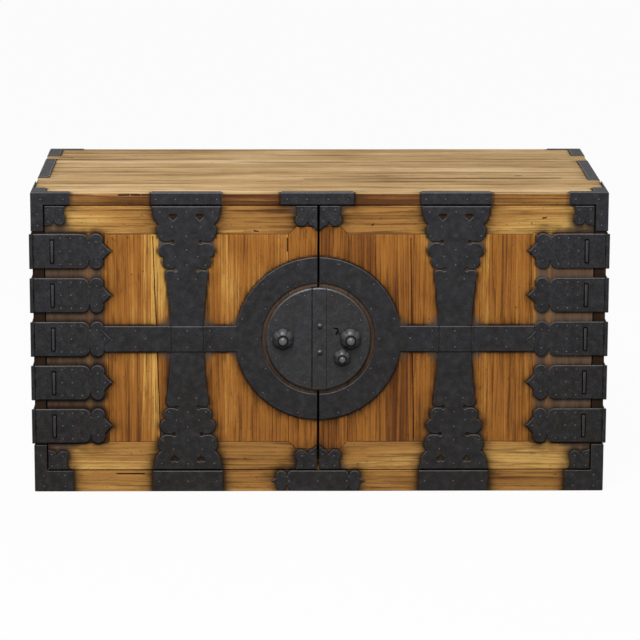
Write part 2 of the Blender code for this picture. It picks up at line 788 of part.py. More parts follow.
def ring_iron(name, side):
    """Half of the ring round the lock, with its cross band."""
    outline = moved(band_of_ring(RING_R, RING_HOLE_R, DOOR_INNER), SEAM_X, LOCK_Z, side)
    ring = plate(name, outline, WOOD_SEAT - BAND_T, BAND_T)
    join(ring, cross_band(name + "_band", side))
    tip = [(side * (SIDE_X - along), LOCK_Z + up) for along, up in strap_outline(FIT)]
    cut(ring, plate(name + "_strap_tip", tip, WOOD_SEAT - STRAP_T - BEYOND, STRAP_T + 2 * BEYOND))
    return ring


def waist_strap(name, side):
    """A long strap from the top of a door to its foot, with heart-shaped cut-outs in its flared ends."""
    half_length = (DOOR_HIGH - DOOR_LOW) / 2 - IRON_MARGIN
    holes = []
    for up in (1, -1):
        for way in (1, -1):
            heart_z = LOCK_Z + up * (half_length - HEART_DROP)
            holes.append(heart(WAIST_X[side] + way * HEART_X, heart_z, up))
    outline = moved(waist_outline(half_length), WAIST_X[side], LOCK_Z)
    return plate(name, outline, WOOD_SEAT - WAIST_T, WAIST_T, holes)


def knob(name, radius, proud, x, z, shank_r, shank_l):
    """A turned knob on the lock: a lobed dome, a waist and a button in front, and a shank behind."""
    profile = [
        (0.0, proud),
        (0.21 * radius, 0.975 * proud),
        (0.31 * radius, 0.90 * proud),
        (0.33 * radius, 0.80 * proud),
        (0.28 * radius, 0.70 * proud),
        (0.47 * radius, 0.62 * proud),
        (0.73 * radius, 0.47 * proud),
        (0.93 * radius, 0.26 * proud),
        (1.00 * radius, 0.09 * proud),
        (0.98 * radius, 0.0),
        (shank_r, 0.0),
        (shank_r, -shank_l),
        (0.0, -shank_l),
    ]
    mesh = bpy.data.meshes.new(name)
    edges = [(i, i + 1) for i in range(len(profile) - 1)]
    mesh.from_pydata([(r, 0.0, h) for r, h in profile], edges, [])
    turned = place(name, mesh, (x, LOCK_FACE - FIT, z), (math.pi / 2, 0.0, 0.0))
    screw = turned.modifiers.new("turn", "SCREW")
    screw.steps = 36
    screw.render_steps = 36
    screw.use_merge_vertices = True
    screw.merge_threshold = SAME_POINT
    turned = mesh_from(turned)
    skirt = 0.62 * proud
    for vertex in turned.data.vertices:
        out = math.hypot(vertex.co.x, vertex.co.y)
        if 0.0 <= vertex.co.z < skirt and out > shank_r * 1.5:
            swell = KNOB_LOBE_SHARE * (1 - vertex.co.z / skirt)
            factor = 1 + swell * math.cos(KNOB_LOBES * math.atan2(vertex.co.x, vertex.co.y))
            vertex.co.x *= factor
            vertex.co.y *= factor
    turned.data.shade_smooth()
    turned.data.set_sharp_from_angle(angle=math.radians(50))
    return turned


def cut_keyhole(lock):
    """The hooked keyhole: a bent slot that parts into two legs."""
    x = SEAM_X + KEYHOLE_REACH
    z = LOCK_Z + KEYHOLE_RISE
    hook = (x - 0.45 * KEYHOLE_H, z + 0.40 * KEYHOLE_H)
    bend = (x, z + 0.32 * KEYHOLE_H)
    fork = (x, z)
    feet = [(x + way * 0.21 * KEYHOLE_H, z - 0.40 * KEYHOLE_H) for way in (1, -1)]
    strokes = [(hook, bend), (bend, fork), (fork, feet[0]), (fork, feet[1])]
    for number, (start, end) in enumerate(strokes):
        outline = stadium(start, end, KEYHOLE_W)
        cut(lock, plate(f"keyhole_{number}", outline, LOCK_FACE - SUNK, LOCK_T + 2 * SUNK))


def lock_plate(name, side, edge, holes):
    """Half of the round lock plate, up to the closing strip."""
    outline = moved(band_of_ring(LOCK_R, None, edge), SEAM_X, LOCK_Z, side)
    return plate(name, outline, LOCK_FACE, LOCK_T, holes)


def strip_outline(lap, reach, grow=0.0):
    """An upright strip cut from the lock's round, with its lap and reach given from the seam."""
    upper = []
    for step in range(ARC_STEPS + 1):
        x = -lap + (lap + reach) * step / ARC_STEPS
        upper.append((x, math.sqrt(LOCK_R ** 2 - x ** 2) + grow))
    outline = upper + [(x, -z) for x, z in reversed(upper)]
    return moved(outline, SEAM_X, LOCK_Z)


def closing_strip():
    """The upright strip on the right door that covers the gap between the doors, with two domed rivets."""
    face = WOOD_SEAT - STRIP_T
    strip = plate("closing_strip", strip_outline(STRIP_LAP, STRIP_REACH), face, STRIP_T)
    for way in (1, -1):
        shape = bmesh.new()
        bmesh.ops.create_uvsphere(shape, u_segments=14, v_segments=8, radius=1.0)
        bmesh.ops.scale(shape, vec=(RIVET_R, RIVET_PROUD, RIVET_R), verts=shape.verts)
        mesh = bpy.data.meshes.new(f"rivet_{way}")
        shape.to_mesh(mesh)
        shape.free()
        centre = (SEAM_X + RIVET_X, face + SUNK / 2, LOCK_Z + way * RIVET_OFFSET)
        join(strip, place(f"rivet_{way}", mesh, centre))
    return strip


def make_door(side, pivot):
    word = SIDE_NAMES[side]
    rails, stiles, panel = door_frame(side, word)
    hang(pivot, FRONT_WOOD, *rails.values(), *stiles, panel)
    hang(pivot, PLATE_IRON, waist_strap(f"{word}_waist_strap", side), ring_iron(f"{word}_ring_iron", side))
    return stiles[1]


def make_lock(doors, left_stile, right_stile):
    """Lock plates, closing strip and pulls; a notch in the left stile lets each door open alone."""
    hole_r = PULL_SHANK_R + FIT
    spindle_hole_r = SPINDLE_R + SPINDLE_PLAY
    left_hole = circle(PULL_X[LEFT], LOCK_Z, hole_r)
    left_plate = lock_plate("left_lock_plate", LEFT, STRIP_LAP + STRIP_SLOT, [left_hole])
    right_holes = [circle(PULL_X[RIGHT], LOCK_Z, hole_r), circle(LATCH_X, LATCH_Z, spindle_hole_r)]
    right_plate = lock_plate("right_lock_plate", RIGHT, STRIP_REACH + FIT, right_holes)
    cut_keyhole(right_plate)
    hang(doors[LEFT], LOCK_IRON, left_plate)
    hang(doors[RIGHT], LOCK_IRON, right_plate, closing_strip())
    for side, word in SIDE_NAMES.items():
        shank_l = LOCK_T - FIT
        pull = knob(f"{word}_pull_knob", PULL_R, PULL_PROUD, PULL_X[side], LOCK_Z, PULL_SHANK_R, shank_l)
        hang(doors[side], LOCK_IRON, pull)
    notch = strip_outline(STRIP_LAP + NOTCH_CLEARANCE, 0.0, NOTCH_RISE)
    cut(left_stile, plate("left_stile_notch", notch, FRONT - BEYOND, DOOR_T + 2 * BEYOND))
    through = ((LATCH_X, FRONT - BEYOND, LATCH_Z), (LATCH_X, DOOR_BACK + BEYOND, LATCH_Z))
    cut(right_stile, rod("right_stile_spindle_hole", spindle_hole_r, *through))


# Latch


def lever_outline():
    """A lever with a boss at the spindle and a round tip, leaning to its place at rest."""
    half = LEVER_W / 2
    boss_lean = math.degrees(math.asin(half / LEVER_BOSS_R))
    tip_lean = math.degrees(math.acos(half / LEVER_TIP_R))
    points = arc((0.0, 0.0), LEVER_BOSS_R, 90 - boss_lean, boss_lean - 270, 20)
    points += arc((0.0, LEVER_L), LEVER_TIP_R, 180 + tip_lean, -tip_lean, 12)
    sin, cos = math.sin(LEVER_REST), math.cos(LEVER_REST)
    return [(LATCH_X + x * cos + z * sin, LATCH_Z - x * sin + z * cos) for x, z in points]


def make_latch(doors):
    """The turning knob and its lever, the sliding bolt, the case that guides it and the keeper."""
    spindle_l = BOLT_BACK - (LOCK_FACE - FIT)
    turner = carrier("latch_pivot", (LATCH_X, DOOR_BACK, LATCH_Z), doors[RIGHT])
    slider = carrier("bolt_slide", (LEVER_TIP_X, BOLT_BACK, BOLT_LOW), doors[RIGHT])
    latch = knob("latch_knob", LATCH_R, LATCH_PROUD, LATCH_X, LATCH_Z, SPINDLE_R, spindle_l)
    hang(turner, LOCK_IRON, latch)
    lever_y = BOLT_BACK - BOLT_T + (BOLT_T - LEVER_T) / 2
    spindle_hole = circle(LATCH_X, LATCH_Z, SPINDLE_R + FIT)
    hang(turner, LOCK_IRON, plate("latch_lever", lever_outline(), lever_y, LEVER_T, [spindle_hole]))

    slot_half = LEVER_TIP_R + BOLT_PLAY
    bolt_end = LEVER_TIP_X + slot_half + BOLT_TAIL
    bolt_high = BOLT_LOW + BOLT_H
    slot_top = LATCH_Z + LEVER_L + slot_half
    outline = [
        (BOLT_TIP, BOLT_LOW),
        (LEVER_TIP_X - slot_half, BOLT_LOW),
        (LEVER_TIP_X - slot_half, slot_top),
        (LEVER_TIP_X + slot_half, slot_top),
        (LEVER_TIP_X + slot_half, BOLT_LOW),
        (bolt_end, BOLT_LOW),
        (bolt_end, bolt_high),
        (BOLT_TIP, bolt_high),
    ]
    hang(slider, LOCK_IRON, plate("lock_bolt", outline, BOLT_BACK - BOLT_T, BOLT_T))

    seat = DOOR_BACK + FIT
    case_low = LATCH_Z - LEVER_BOSS_R - CASE_ROOM
    case_high = bolt_high + CASE_ROOM
    case_x = (CASE_EDGE, bolt_end + CASE_ROOM + CASE_WALL)
    lock_case = box(
        "lock_case",
        (case_x[0], seat, case_low - CASE_WALL),
        (case_x[1], seat + CASE_DEPTH, case_high + CASE_WALL),
    )
    hollow = (
        (case_x[0] + CASE_WALL, seat - BEYOND, case_low),
        (case_x[1] - CASE_WALL, seat + CASE_DEPTH - CASE_WALL, case_high),
    )
    cut(lock_case, box("lock_case_hollow", *hollow))
    bolt_way = (
        (case_x[0] - BEYOND, BOLT_BACK - BOLT_T, BOLT_LOW),
        (case_x[0] + 2 * CASE_WALL, BOLT_BACK - FIT, bolt_high),
    )
    cut(lock_case, grown("lock_case_slot", *bolt_way))
    hang(doors[RIGHT], LOCK_IRON, lock_case)

    keeper_edge = SEAM_X - STRIP_LAP - NOTCH_CLEARANCE - FIT
    keeper_x = (keeper_edge, keeper_edge - KEEPER_W)
    window_low = BOLT_LOW - KEEPER_ROOM
    window_high = bolt_high + KEEPER_ROOM
    keeper = box(
        "bolt_keeper",
        (keeper_x[0], seat, window_low - KEEPER_WALL),
        (keeper_x[1], BOLT_BACK + KEEPER_ROOM + KEEPER_WALL, window_high + KEEPER_WALL),
    )
    window = (
        (keeper_x[0] + BEYOND, BOLT_BACK - BOLT_T - KEEPER_ROOM, window_low),
        (keeper_x[1] - BEYOND, BOLT_BACK + KEEPER_ROOM, window_high),
    )
    cut(keeper, box("bolt_keeper_window", *window))
    hang(doors[LEFT], LOCK_IRON, keeper)


def main():
    clear_scene()
    root = carrier("case_frame", (0.0, 0.0, 0.0))
    doors = {side: carrier(f"{word}_door_pivot", (side * PIVOT_X, PIVOT_Y, LOCK_Z), root)
             for side, word in SIDE_NAMES.items()}
    make_case(root)
    make_case_irons(root)
    make_hinges(root, doors)
    left_stile = make_door(LEFT, doors[LEFT])
    right_stile = make_door(RIGHT, doors[RIGHT])
    make_lock(doors, left_stile, right_stile)
    make_latch(doors)


main()
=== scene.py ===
"""Finish of a choba tansu: lacquered boards, blackened ironwork, nails and the stage they stand on.

Metres, +Z up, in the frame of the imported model. The doors face -Y.
"""

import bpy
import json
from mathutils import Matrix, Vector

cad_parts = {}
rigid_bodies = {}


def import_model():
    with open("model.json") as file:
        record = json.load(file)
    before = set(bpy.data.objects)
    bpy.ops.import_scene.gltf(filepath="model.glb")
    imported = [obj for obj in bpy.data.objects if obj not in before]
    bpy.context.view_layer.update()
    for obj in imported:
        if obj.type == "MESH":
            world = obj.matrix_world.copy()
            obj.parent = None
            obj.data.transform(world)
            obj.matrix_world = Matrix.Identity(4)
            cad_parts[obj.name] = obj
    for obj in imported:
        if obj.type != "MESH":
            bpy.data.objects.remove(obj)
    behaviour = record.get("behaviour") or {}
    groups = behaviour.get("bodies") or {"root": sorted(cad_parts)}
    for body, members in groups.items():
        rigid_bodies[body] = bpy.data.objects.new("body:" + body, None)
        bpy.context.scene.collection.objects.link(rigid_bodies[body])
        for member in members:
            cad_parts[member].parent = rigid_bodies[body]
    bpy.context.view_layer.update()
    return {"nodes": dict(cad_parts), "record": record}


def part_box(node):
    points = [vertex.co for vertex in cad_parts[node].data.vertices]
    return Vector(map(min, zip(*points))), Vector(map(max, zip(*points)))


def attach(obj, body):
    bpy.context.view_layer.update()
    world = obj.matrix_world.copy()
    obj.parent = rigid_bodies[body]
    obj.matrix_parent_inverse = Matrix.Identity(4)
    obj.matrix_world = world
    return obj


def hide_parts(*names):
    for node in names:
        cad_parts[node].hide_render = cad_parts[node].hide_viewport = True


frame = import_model()

import json
import math
from typing import NamedTuple

import bmesh
import bpy
from mathutils import Matrix, Vector, noise
from mathutils.bvhtree import BVHTree

bl_info = {
    "name": "Choba tansu finish",
    "version": (1, 0, 0),
    "blender": (4, 5, 0),
    "location": "3D View > Sidebar > Tansu",
    "description": "Boards, ironwork, nails and stage for a merchant's counter chest",
    "category": "Object",
}

MM = 0.001
LEFT = -1
RIGHT = 1
SIDE_WORDS = {LEFT: "left", RIGHT: "right"}
BODY_OF_SIDE = {LEFT: "left_door", RIGHT: "right_door"}
BOTH_WAYS = (-1, 1)
HINGES = range(1, 6)
ALONG_X = Vector((1.0, 0.0, 0.0))
ALONG_Y = Vector((0.0, 1.0, 0.0))
ALONG_Z = Vector((0.0, 0.0, 1.0))
AXES = (ALONG_X, ALONG_Y, ALONG_Z)
LEVEL_GRAIN = 0
UPRIGHT_GRAIN = 2

# What counts as one point, and as a flat, sharp or square-on face
MERGE = 0.00002
CUT_SNAP = MERGE / 10
FLAT_ANGLE = math.radians(1.0)
SHARP_ANGLE = math.radians(32.0)
FLAT_AREA = 40e-6
SQUARE_ON = 0.9
FACES_UP = 0.5

# Rub of the iron: above nought it is worn bright, with painted highlights on faces turned up; below nought it
# is painted shade
EDGE_WEAR_AND_HIGHLIGHT = 0.85
EDGE_SHADE = 1.1
BUTTON_WEAR = 0.50
DOME_WEAR_AND_HIGHLIGHT = 0.45
DOME_SHADE = 1.0
CREASE_SHADE = 0.8
NAIL_WEAR = 0.22
RIB_WEAR_AND_HIGHLIGHT = 0.12
RECESS_SHADE = -1.2
RUB_POLISH = 0.35

# Age of the wood: old lacquer on the top's edges, smoke beside the iron, soot, dust and painted shade between
# plates
OLD_LACQUER_SIDE = 0.14
OLD_LACQUER_SEAM = 0.66
SMOKE_AT_HEAD = 0.35
SMOKE_AT_FOOT = 0.80
SMOKE_REACHES = 4
# A black edge of soot and painted shadow runs along the iron; wood seen through a hole in a plate is painted
# in shade
EDGE_SOOT_AND_SHADOW = 0.95
NARROW_GAP = 14 * MM
WIDE_GAP = 40 * MM
HOLE_CLOSED = 0.93
HOLE_SHADE = 0.98
GAP_SOOT_AND_SHADE = 0.30
GAP_DUST = 0.95
PLATE_MIDDLE = 0.8 * MM
FACE_ROOM = 1 * MM
# Lines in the front's plane along which a point may be closed in by iron
GAP_LINES = [Vector(line).normalized() for line in ((1, 0, 0), (0, 0, 1), (1, 0, 1), (1, 0, -1))]

# Hand-planed waves per metre, slow and quick, and steps between the draws of the grain of two boards
SLOW_WAVES = 9.0
QUICK_WAVES = 31.0
QUICK_SHARE = 0.5
QUICK_OFFSET = 5.0
GRAIN_STEP = 3.7
SPLIT_STEP = 1.9

# Sockets of a colour Mix node, and of a Random Value node for numbers
MIX_FACTOR = 0
MIX_A = 6
MIX_B = 7
MIX_RESULT = 2
RANDOM_LEAST = 2
RANDOM_MOST = 3
RANDOM_RESULT = 1


def centre_of(node):
    """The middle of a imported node's box."""
    low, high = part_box(node)
    return (low + high) / 2


# Places that several pieces share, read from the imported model
CASE_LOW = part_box("bottom_board")[0]
CASE_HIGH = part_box("top_board")[1]
FRONT = CASE_LOW.y
TOP = CASE_HIGH.z
DOOR_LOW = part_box("left_bottom_rail")[0].z
DOOR_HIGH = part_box("left_top_rail")[1].z
DOOR_EDGES = {
    LEFT: (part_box("left_top_rail")[0].x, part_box("left_top_rail")[1].x),
    RIGHT: (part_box("right_top_rail")[1].x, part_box("right_top_rail")[0].x),
}
SEAM_X = (DOOR_EDGES[LEFT][1] + DOOR_EDGES[RIGHT][1]) / 2
LOCK_Z = (DOOR_LOW + DOOR_HIGH) / 2
LOCK_R = SEAM_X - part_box("left_lock_plate")[0].x
LOCK_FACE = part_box("left_lock_plate")[0].y
LATCH_Z = centre_of("latch_knob").z

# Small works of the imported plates, and the room that is kept round them
KEYHOLE = Vector((SEAM_X + 30.8 * MM, LOCK_FACE, LOCK_Z + 13 * MM))
KEYHOLE_ROOM = 9 * MM
RIVET_X = SEAM_X + 2.4 * MM
RIVET_OFFSET = 21.5 * MM
RIVET_ROOM = 6.5 * MM
RIM_ROOM = 1 * MM
KNUCKLE_ROOM = 2.5 * MM
KNUCKLE_LINE = 1.2 * MM
RIB_INSET = 31.5 * MM
RIB_ROOM = 3.8 * MM
RIB_HALF = 19.5 * MM
RIB_PROUD = 3.5 * MM
HEART_DROP = 15.5 * MM
WAIST_HALF = 25.5 * MM
CROSSING_LINE = 1.4 * MM

# Knobs: their gap from the lock's face, and the radius of their spindles
KNOB_SEAT = 0.3 * MM
SPINDLE_R = 2.6 * MM

# Trim plates: their gap from the wood and from a door's edge, and their softer edges
SEAT = 0.2 * MM
DOOR_MARGIN = 0.4 * MM
TRIM_EDGE = 0.6
# Door corner plates: reach along the rail and tail down the stile
OUTER_CORNER = (31 * MM, 32 * MM)
INNER_CORNER = (33 * MM, 38 * MM)
# Side strips of the top: start behind the front, and length
SIDE_STRIP = {LEFT: (157 * MM, 187 * MM), RIGHT: (130 * MM, 195 * MM)}
SIDE_STRIP_WIDTH = 17 * MM
SIDE_STRIP_ROUNDS = 6
# Back corner plates of the top: reach along the back edge and the side edge, and the widths of the two arms
BACK_REACH = 57 * MM
BACK_DEPTH = 72 * MM
BACK_ARM_TIP = 6 * MM
BACK_ARM_ROOT = 8 * MM
BACK_SIDE_ARM = 20 * MM

# Nails: their places on the case's edges, and how deep those of the top and back are driven
NAIL_DROP = 9 * MM
FOOT_NAILS = 17 * MM
TOP_NAIL_SINK = 0.6
BACK_NAIL_INSET = 6 * MM
BACK_NAIL_RISE = 0.25 * MM
BACK_NAIL_SINK = 1.2
DOOR_NAIL_SEED = 7
CASE_NAIL_SEED = 3
BACK_NAIL_SEED = 5
# How far out a nail's line starts, clear of the chest
OUTSIDE = 1.0

# Stage: a floor just under the chest, the white that floor and backdrop show, the lamp and the camera
FLOOR_HALF = 40.0
FLOOR_DROP = 0.2 * MM
FLOOR_ROUGHNESS = 0.9
FLOOR_GLOW = 0.96
BACKDROP_GLOW = 0.97
LAMP_WIDTH = 1.5
LAMP_AIM = 0.25
SENSOR_WIDTH = 36.0
WHITE = (1.0, 1.0, 1.0, 1.0)


def linear(code):
    """An sRGB hex colour as linear red, green and blue."""
    parts = [int(code[place:place + 2], 16) / 255 for place in (1, 3, 5)]
    return tuple(part / 12.92 if part <= 0.04045 else ((part + 0.055) / 1.055) ** 2.4 for part in parts)


def colour_setting(label, what, code):
    return bpy.props.FloatVectorProperty(
        name=label, description=what, default=linear(code), subtype="COLOR", size=3, min=0.0, max=1.0
    )


def length_setting(label, what, millimetres):
    return bpy.props.FloatProperty(
        name=label, description=what, default=millimetres * MM, min=0.0, subtype="DISTANCE", unit="LENGTH"
    )


def place_setting(label, what, place):
    return bpy.props.FloatVectorProperty(
        name=label, description=what, default=place, subtype="TRANSLATION", unit="LENGTH"
    )


class TansuWood(bpy.types.PropertyGroup):
    """Colours and sizes of the boards."""

    panel_pale: colour_setting("Panel, pale", "Early wood of the panels and stiles", "#CE9E50")
    panel_amber: colour_setting("Panel, amber", "Lacquer between the growth rings", "#9A6226")
    panel_dark: colour_setting("Panel, dark", "Late wood and old lacquer", "#5A300E")
    rail_pale: colour_setting("Rail, pale", "Early wood of the rails and the case's edges", "#CDA35C")
    rail_amber: colour_setting("Rail, amber", "Thin lacquer on the rails", "#A3743A")
    rail_dark: colour_setting("Rail, dark", "Growth lines of the rails", "#553014")
    top_pale: colour_setting("Top, pale", "Faded lacquer of the top board", "#DABB8F")
    top_amber: colour_setting("Top, amber", "Lacquer left in the grain of the top", "#B8976A")
    top_dark: colour_setting("Top, dark", "Late wood and scratches on the top", "#604023")
    inside_pale: colour_setting("Inside, pale", "Bare early wood of the shelf and back", "#C2A57C")
    inside_amber: colour_setting("Inside, amber", "Bare wood between the rings", "#A98A60")
    inside_dark: colour_setting("Inside, dark", "Late wood of the shelf and back", "#7C5E3D")
    # Soot also gives the colour of painted shade in holes and gaps, and of the painted shadow along the iron
    soot_and_shade: colour_setting("Soot", "Darkened wood beside the iron", "#211913")
    dust: colour_setting("Dust", "Grey film on the wood between two plates", "#5C4C40")
    # The black edge is soot and a painted shadow
    soot_and_shadow_edge: length_setting("Soot edge", "Width of the black edge beside the iron", 3.5)
    soot_reach: length_setting("Soot reach", "How far the smoky shade spreads from the iron", 12.0)
    arris: length_setting("Arris", "Rounding of the boards' edges", 0.9)
    facet: length_setting("Facet", "Spacing of the surface points on a board", 3.0)
    unevenness: length_setting("Unevenness", "Depth of the hand-planed waves", 0.22)
    joint_depth: length_setting("Joint depth", "Depth of an opened joint", 1.5)


class TansuIron(bpy.types.PropertyGroup):
    """Colours and sizes of the ironwork."""

    blackened: colour_setting("Blackened iron", "Oil-blackened plate", "#28282C")
    mottled: colour_setting("Mottled iron", "Older, browner patches", "#221F1D")
    # The pits' colour is also that of painted shade, and rubbed iron's that of worn edges with painted
    # highlights
    pits_and_shade: colour_setting("Pits", "Black pits between the hammer marks", "#100F0F")
    speck: colour_setting("Specks", "Thin scale and dust in the pits", "#504E4B")
    rubbed_and_highlight: colour_setting("Rubbed iron", "Edges and knobs rubbed by hands", "#77767A")
    plate_edge: length_setting("Plate edge", "Rounding of a plate's edges", 1.1)
    fold_edge: length_setting("Fold edge", "Rounding of the folded corner plates' edges", 0.5)
    lock_edge: length_setting("Lock edge", "Rounding of the lock's straight edges", 0.5)
    lock_rim: length_setting("Lock rim", "Rounding of the lock's rim", 2.2)
    rib_edge: length_setting("Rib edge", "Rounding of the ribs on the hinge straps", 1.8)
    trim_plate: length_setting("Trim plate", "Thickness of the thin corner plates", 0.9)
    nail_head: length_setting("Nail head", "Radius of a nail's head", 1.7)
    nail_rise: length_setting("Nail rise", "Height of a nail's head", 1.0)


class TansuStage(bpy.types.PropertyGroup):
    """Camera, floor and light."""

    floor: colour_setting("Floor", "Pale floor", "#C4C4C4")
    lens: bpy.props.FloatProperty(
        name="Lens", description="Focal length on a 36 mm sensor", default=176.53, min=1.0,
        subtype="DISTANCE_CAMERA", unit="CAMERA",
    )
    camera_place: place_setting("Camera", "Where the camera stands", (-0.0794, -5.1062, 1.3185))
    camera_turn: bpy.props.FloatVectorProperty(
        name="Camera turn", description="Yaw, downward pitch and roll", default=(0.0164, 0.2094, 0.0024),
        subtype="EULER", unit="ROTATION",
    )
    sky: bpy.props.FloatProperty(
        name="Sky", description="Level of the even light from all round", default=0.15, min=0.0
    )
    key: bpy.props.FloatProperty(
        name="Key light", description="Power of the large soft lamp", default=112.0, min=0.0, unit="POWER"
    )
    key_place: place_setting("Key place", "Where the large soft lamp hangs", (-0.45, -2.0, 2.7))


def wood():
    return bpy.context.scene.tansu_wood


def iron():
    return bpy.context.scene.tansu_iron


# Materials


def add(tree, kind, inputs=None, **settings):
    """Add a node with its settings; an input is a value, or a socket to link."""
    node = tree.nodes.new(kind)
    for name, value in settings.items():
        setattr(node, name, value)
    for name, value in (inputs or {}).items():
        socket = node.inputs[name]
        if isinstance(value, bpy.types.NodeSocket):
            tree.links.new(value, socket)
        else:
            socket.default_value = value
    return node


def new_material(name):
    """An empty Principled material and its shader."""
    material = bpy.data.materials.new(name)
    material.use_nodes = True
    return material, material.node_tree, material.node_tree.nodes["Principled BSDF"]


def rgba(colour):
    return (*colour, 1.0)


def washed(tree, colour, washes, ramp):
    """A colour under washes of others, each from nought at one value to its most at another."""
    for value, low, high, most, over in washes:
        limits = {"Value": value, "From Min": low, "From Max": high, "To Max": most}
        share = add(tree, "ShaderNodeMapRange", limits, interpolation_type=ramp).outputs["Result"]
        sockets = {MIX_FACTOR: share, MIX_A: colour, MIX_B: rgba(over)}
        colour = add(tree, "ShaderNodeMix", sockets, data_type="RGBA").outputs[MIX_RESULT]
    return colour


def link_all(tree, shader, looks):
    """Link the shader's inputs by name."""
    for name, socket in looks.items():
        tree.links.new(socket, shader.inputs[name])


def grained_wood(name, board, grain, ring, line, contrast, roughness):
    """A straight-grained board: rings of unlike darkness, slow zones, pores, stains, age, and soot with
    painted shade.

    The grain runs along an axis; ring is the spacing of the rings, and line the width of the dark lines.
    """
    if name in bpy.data.materials:
        return bpy.data.materials[name]
    pale, amber, dark = (getattr(wood(), f"{board}_{tone}") for tone in ("pale", "amber", "dark"))
    material, tree, shader = new_material(name)
    place = add(tree, "ShaderNodeTexCoord").outputs["Object"]
    layers = {}
    for layer in ("board", "soot_and_shade", "dust", "age"):
        layers[layer] = add(tree, "ShaderNodeAttribute", attribute_name=layer).outputs["Fac"]
    # Noise that runs slower along the grain, by a share, so that spots become streaks. Real pores are
    # about 0.2 mm wide; they are drawn four times as wide so that they show.
    for layer, share, size, detail in (
        ("drift", 0.10, 70 * MM, 2.0),
        ("wobble", 0.06, 8 * MM, 3.0),
        ("pace", 0.04, 30 * MM, 2.0),
        ("zones", 0.045, 42 * MM, 8.0),
        ("stain", 0.35, 60 * MM, 7.0),
        ("lines", 0.025, line, 6.0),
        ("pores", 0.07, 0.8 * MM, 2.0),
        ("flecks", 0.25, 7 * MM, 4.0),
        ("specks", 0.70, 5 * MM, 3.0),
    ):
        scale = [1.0, 1.0, 1.0]
        scale[grain] = share
        drawn_out = add(tree, "ShaderNodeMapping", {"Vector": place, "Scale": scale}).outputs["Vector"]
        sockets = {"Vector": drawn_out, "W": layers["board"], "Scale": 1 / size, "Detail": detail}
        sockets["Roughness"] = 0.6
        layers[layer] = add(tree, "ShaderNodeTexNoise", sockets, noise_dimensions="4D").outputs["Fac"]

    # Rings are counted across the grain, and wander, crowd and spread as they run along the board.
    lean = 0.8 / ring
    across = (0.0, lean, 1 / ring) if grain == LEVEL_GRAIN else (1 / ring, lean, 0.0)
    count = add(tree, "ShaderNodeVectorMath", {0: place, 1: across}, operation="DOT_PRODUCT").outputs["Value"]
    wander = {"drift": 30 * MM / ring, "wobble": 2.5 * MM / ring, "pace": 5.0, "board": 7.3}
    for layer, rings in wander.items():
        sockets = {0: layers[layer], 1: rings, 2: count}
        count = add(tree, "ShaderNodeMath", sockets, operation="MULTIPLY_ADD").outputs["Value"]
    number = add(tree, "ShaderNodeMath", {0: count}, operation="FLOOR").outputs["Value"]
    part = add(tree, "ShaderNodeMath", {0: count}, operation="FRACT").outputs["Value"]
    growth = add(tree, "ShaderNodeTexWhiteNoise", {"W": number}, noise_dimensions="1D")
    layers["growth"] = growth.outputs["Value"]
    layers["late"] = add(tree, "ShaderNodeMath", {0: part, 1: 3.0}, operation="POWER").outputs["Value"]

    # Each layer lightens or darkens the tone about its own middle.
    shares = (
        ("zones", 1.6, 0.5),
        ("growth", 0.22, 0.5),
        ("stain", 1.2, 0.5),
        ("late", -0.26, 0.25),
        ("lines", -0.4, 0.5),
    )
    middle_tone = 0.54
    tone = middle_tone - contrast * sum(weight * middle for layer, weight, middle in shares)
    for layer, weight, middle in shares:
        sockets = {0: layers[layer], 1: contrast * weight, 2: tone}
        tone = add(tree, "ShaderNodeMath", sockets, operation="MULTIPLY_ADD").outputs["Value"]
    tone = add(tree, "ShaderNodeMath", {0: tone, 1: layers["age"]}, operation="SUBTRACT").outputs["Value"]

    # Thin smoke is patchy, and a full black edge of soot and painted shadow, like the painted shade in a
    # hole, is not.
    patchy = {"Value": layers["flecks"], "From Min": 0.25, "From Max": 0.60, "To Min": 1.7, "To Max": 0.8}
    power = add(tree, "ShaderNodeMapRange", patchy).outputs["Result"]
    soot_and_shade = add(tree, "ShaderNodeMath", {0: layers["soot_and_shade"], 1: power}, operation="POWER").outputs["Value"]
    # Lines and pores are deeper than the dark wood, so that they show on it too.
    deep = [0.4 * part for part in dark]
    colour = washed(tree, rgba(dark), (
        (tone, -0.10, 0.50, 1.0, amber),
        (tone, 0.45, 0.95, 1.0, pale),
        (layers["lines"], 0.54, 0.59, 0.48 * contrast, deep),
        (layers["pores"], 0.52, 0.74, 0.30 * contrast, deep),
        (layers["flecks"], 0.56, 0.76, 0.40 * contrast, deep),
        (layers["specks"], 0.65, 0.72, 0.75 * contrast, deep),
        (layers["dust"], 0.0, 1.0, 0.95, wood().dust),
        (soot_and_shade, 0.0, 1.0, 0.95, wood().soot_and_shade),
    ), "SMOOTHSTEP")

    skin = {"Value": layers["flecks"], "From Min": 0.3, "From Max": 0.7}
    skin.update({"To Min": roughness - 0.09, "To Max": roughness + 0.12})
    ridges = {0: layers["lines"], 1: -1.5, 2: layers["late"]}
    ridges = add(tree, "ShaderNodeMath", ridges, operation="MULTIPLY_ADD").outputs["Value"]
    relief = {"Height": ridges, "Strength": 0.5, "Distance": 0.3 * MM}
    # Sooty wood is matt, and so is wood in painted shade, which makes the painted shade deeper
    sheen = {"Value": soot_and_shade, "From Max": 0.8, "To Min": 0.4 * (1 - roughness), "To Max": 0.02}
    shader.inputs["IOR"].default_value = 1.45
    link_all(tree, shader, {
        "Base Color": colour,
        "Roughness": add(tree, "ShaderNodeMapRange", skin).outputs["Result"],
        "Normal": add(tree, "ShaderNodeBump", relief).outputs["Normal"],
        "Specular IOR Level": add(tree, "ShaderNodeMapRange", sheen).outputs["Result"],
    })
    return material


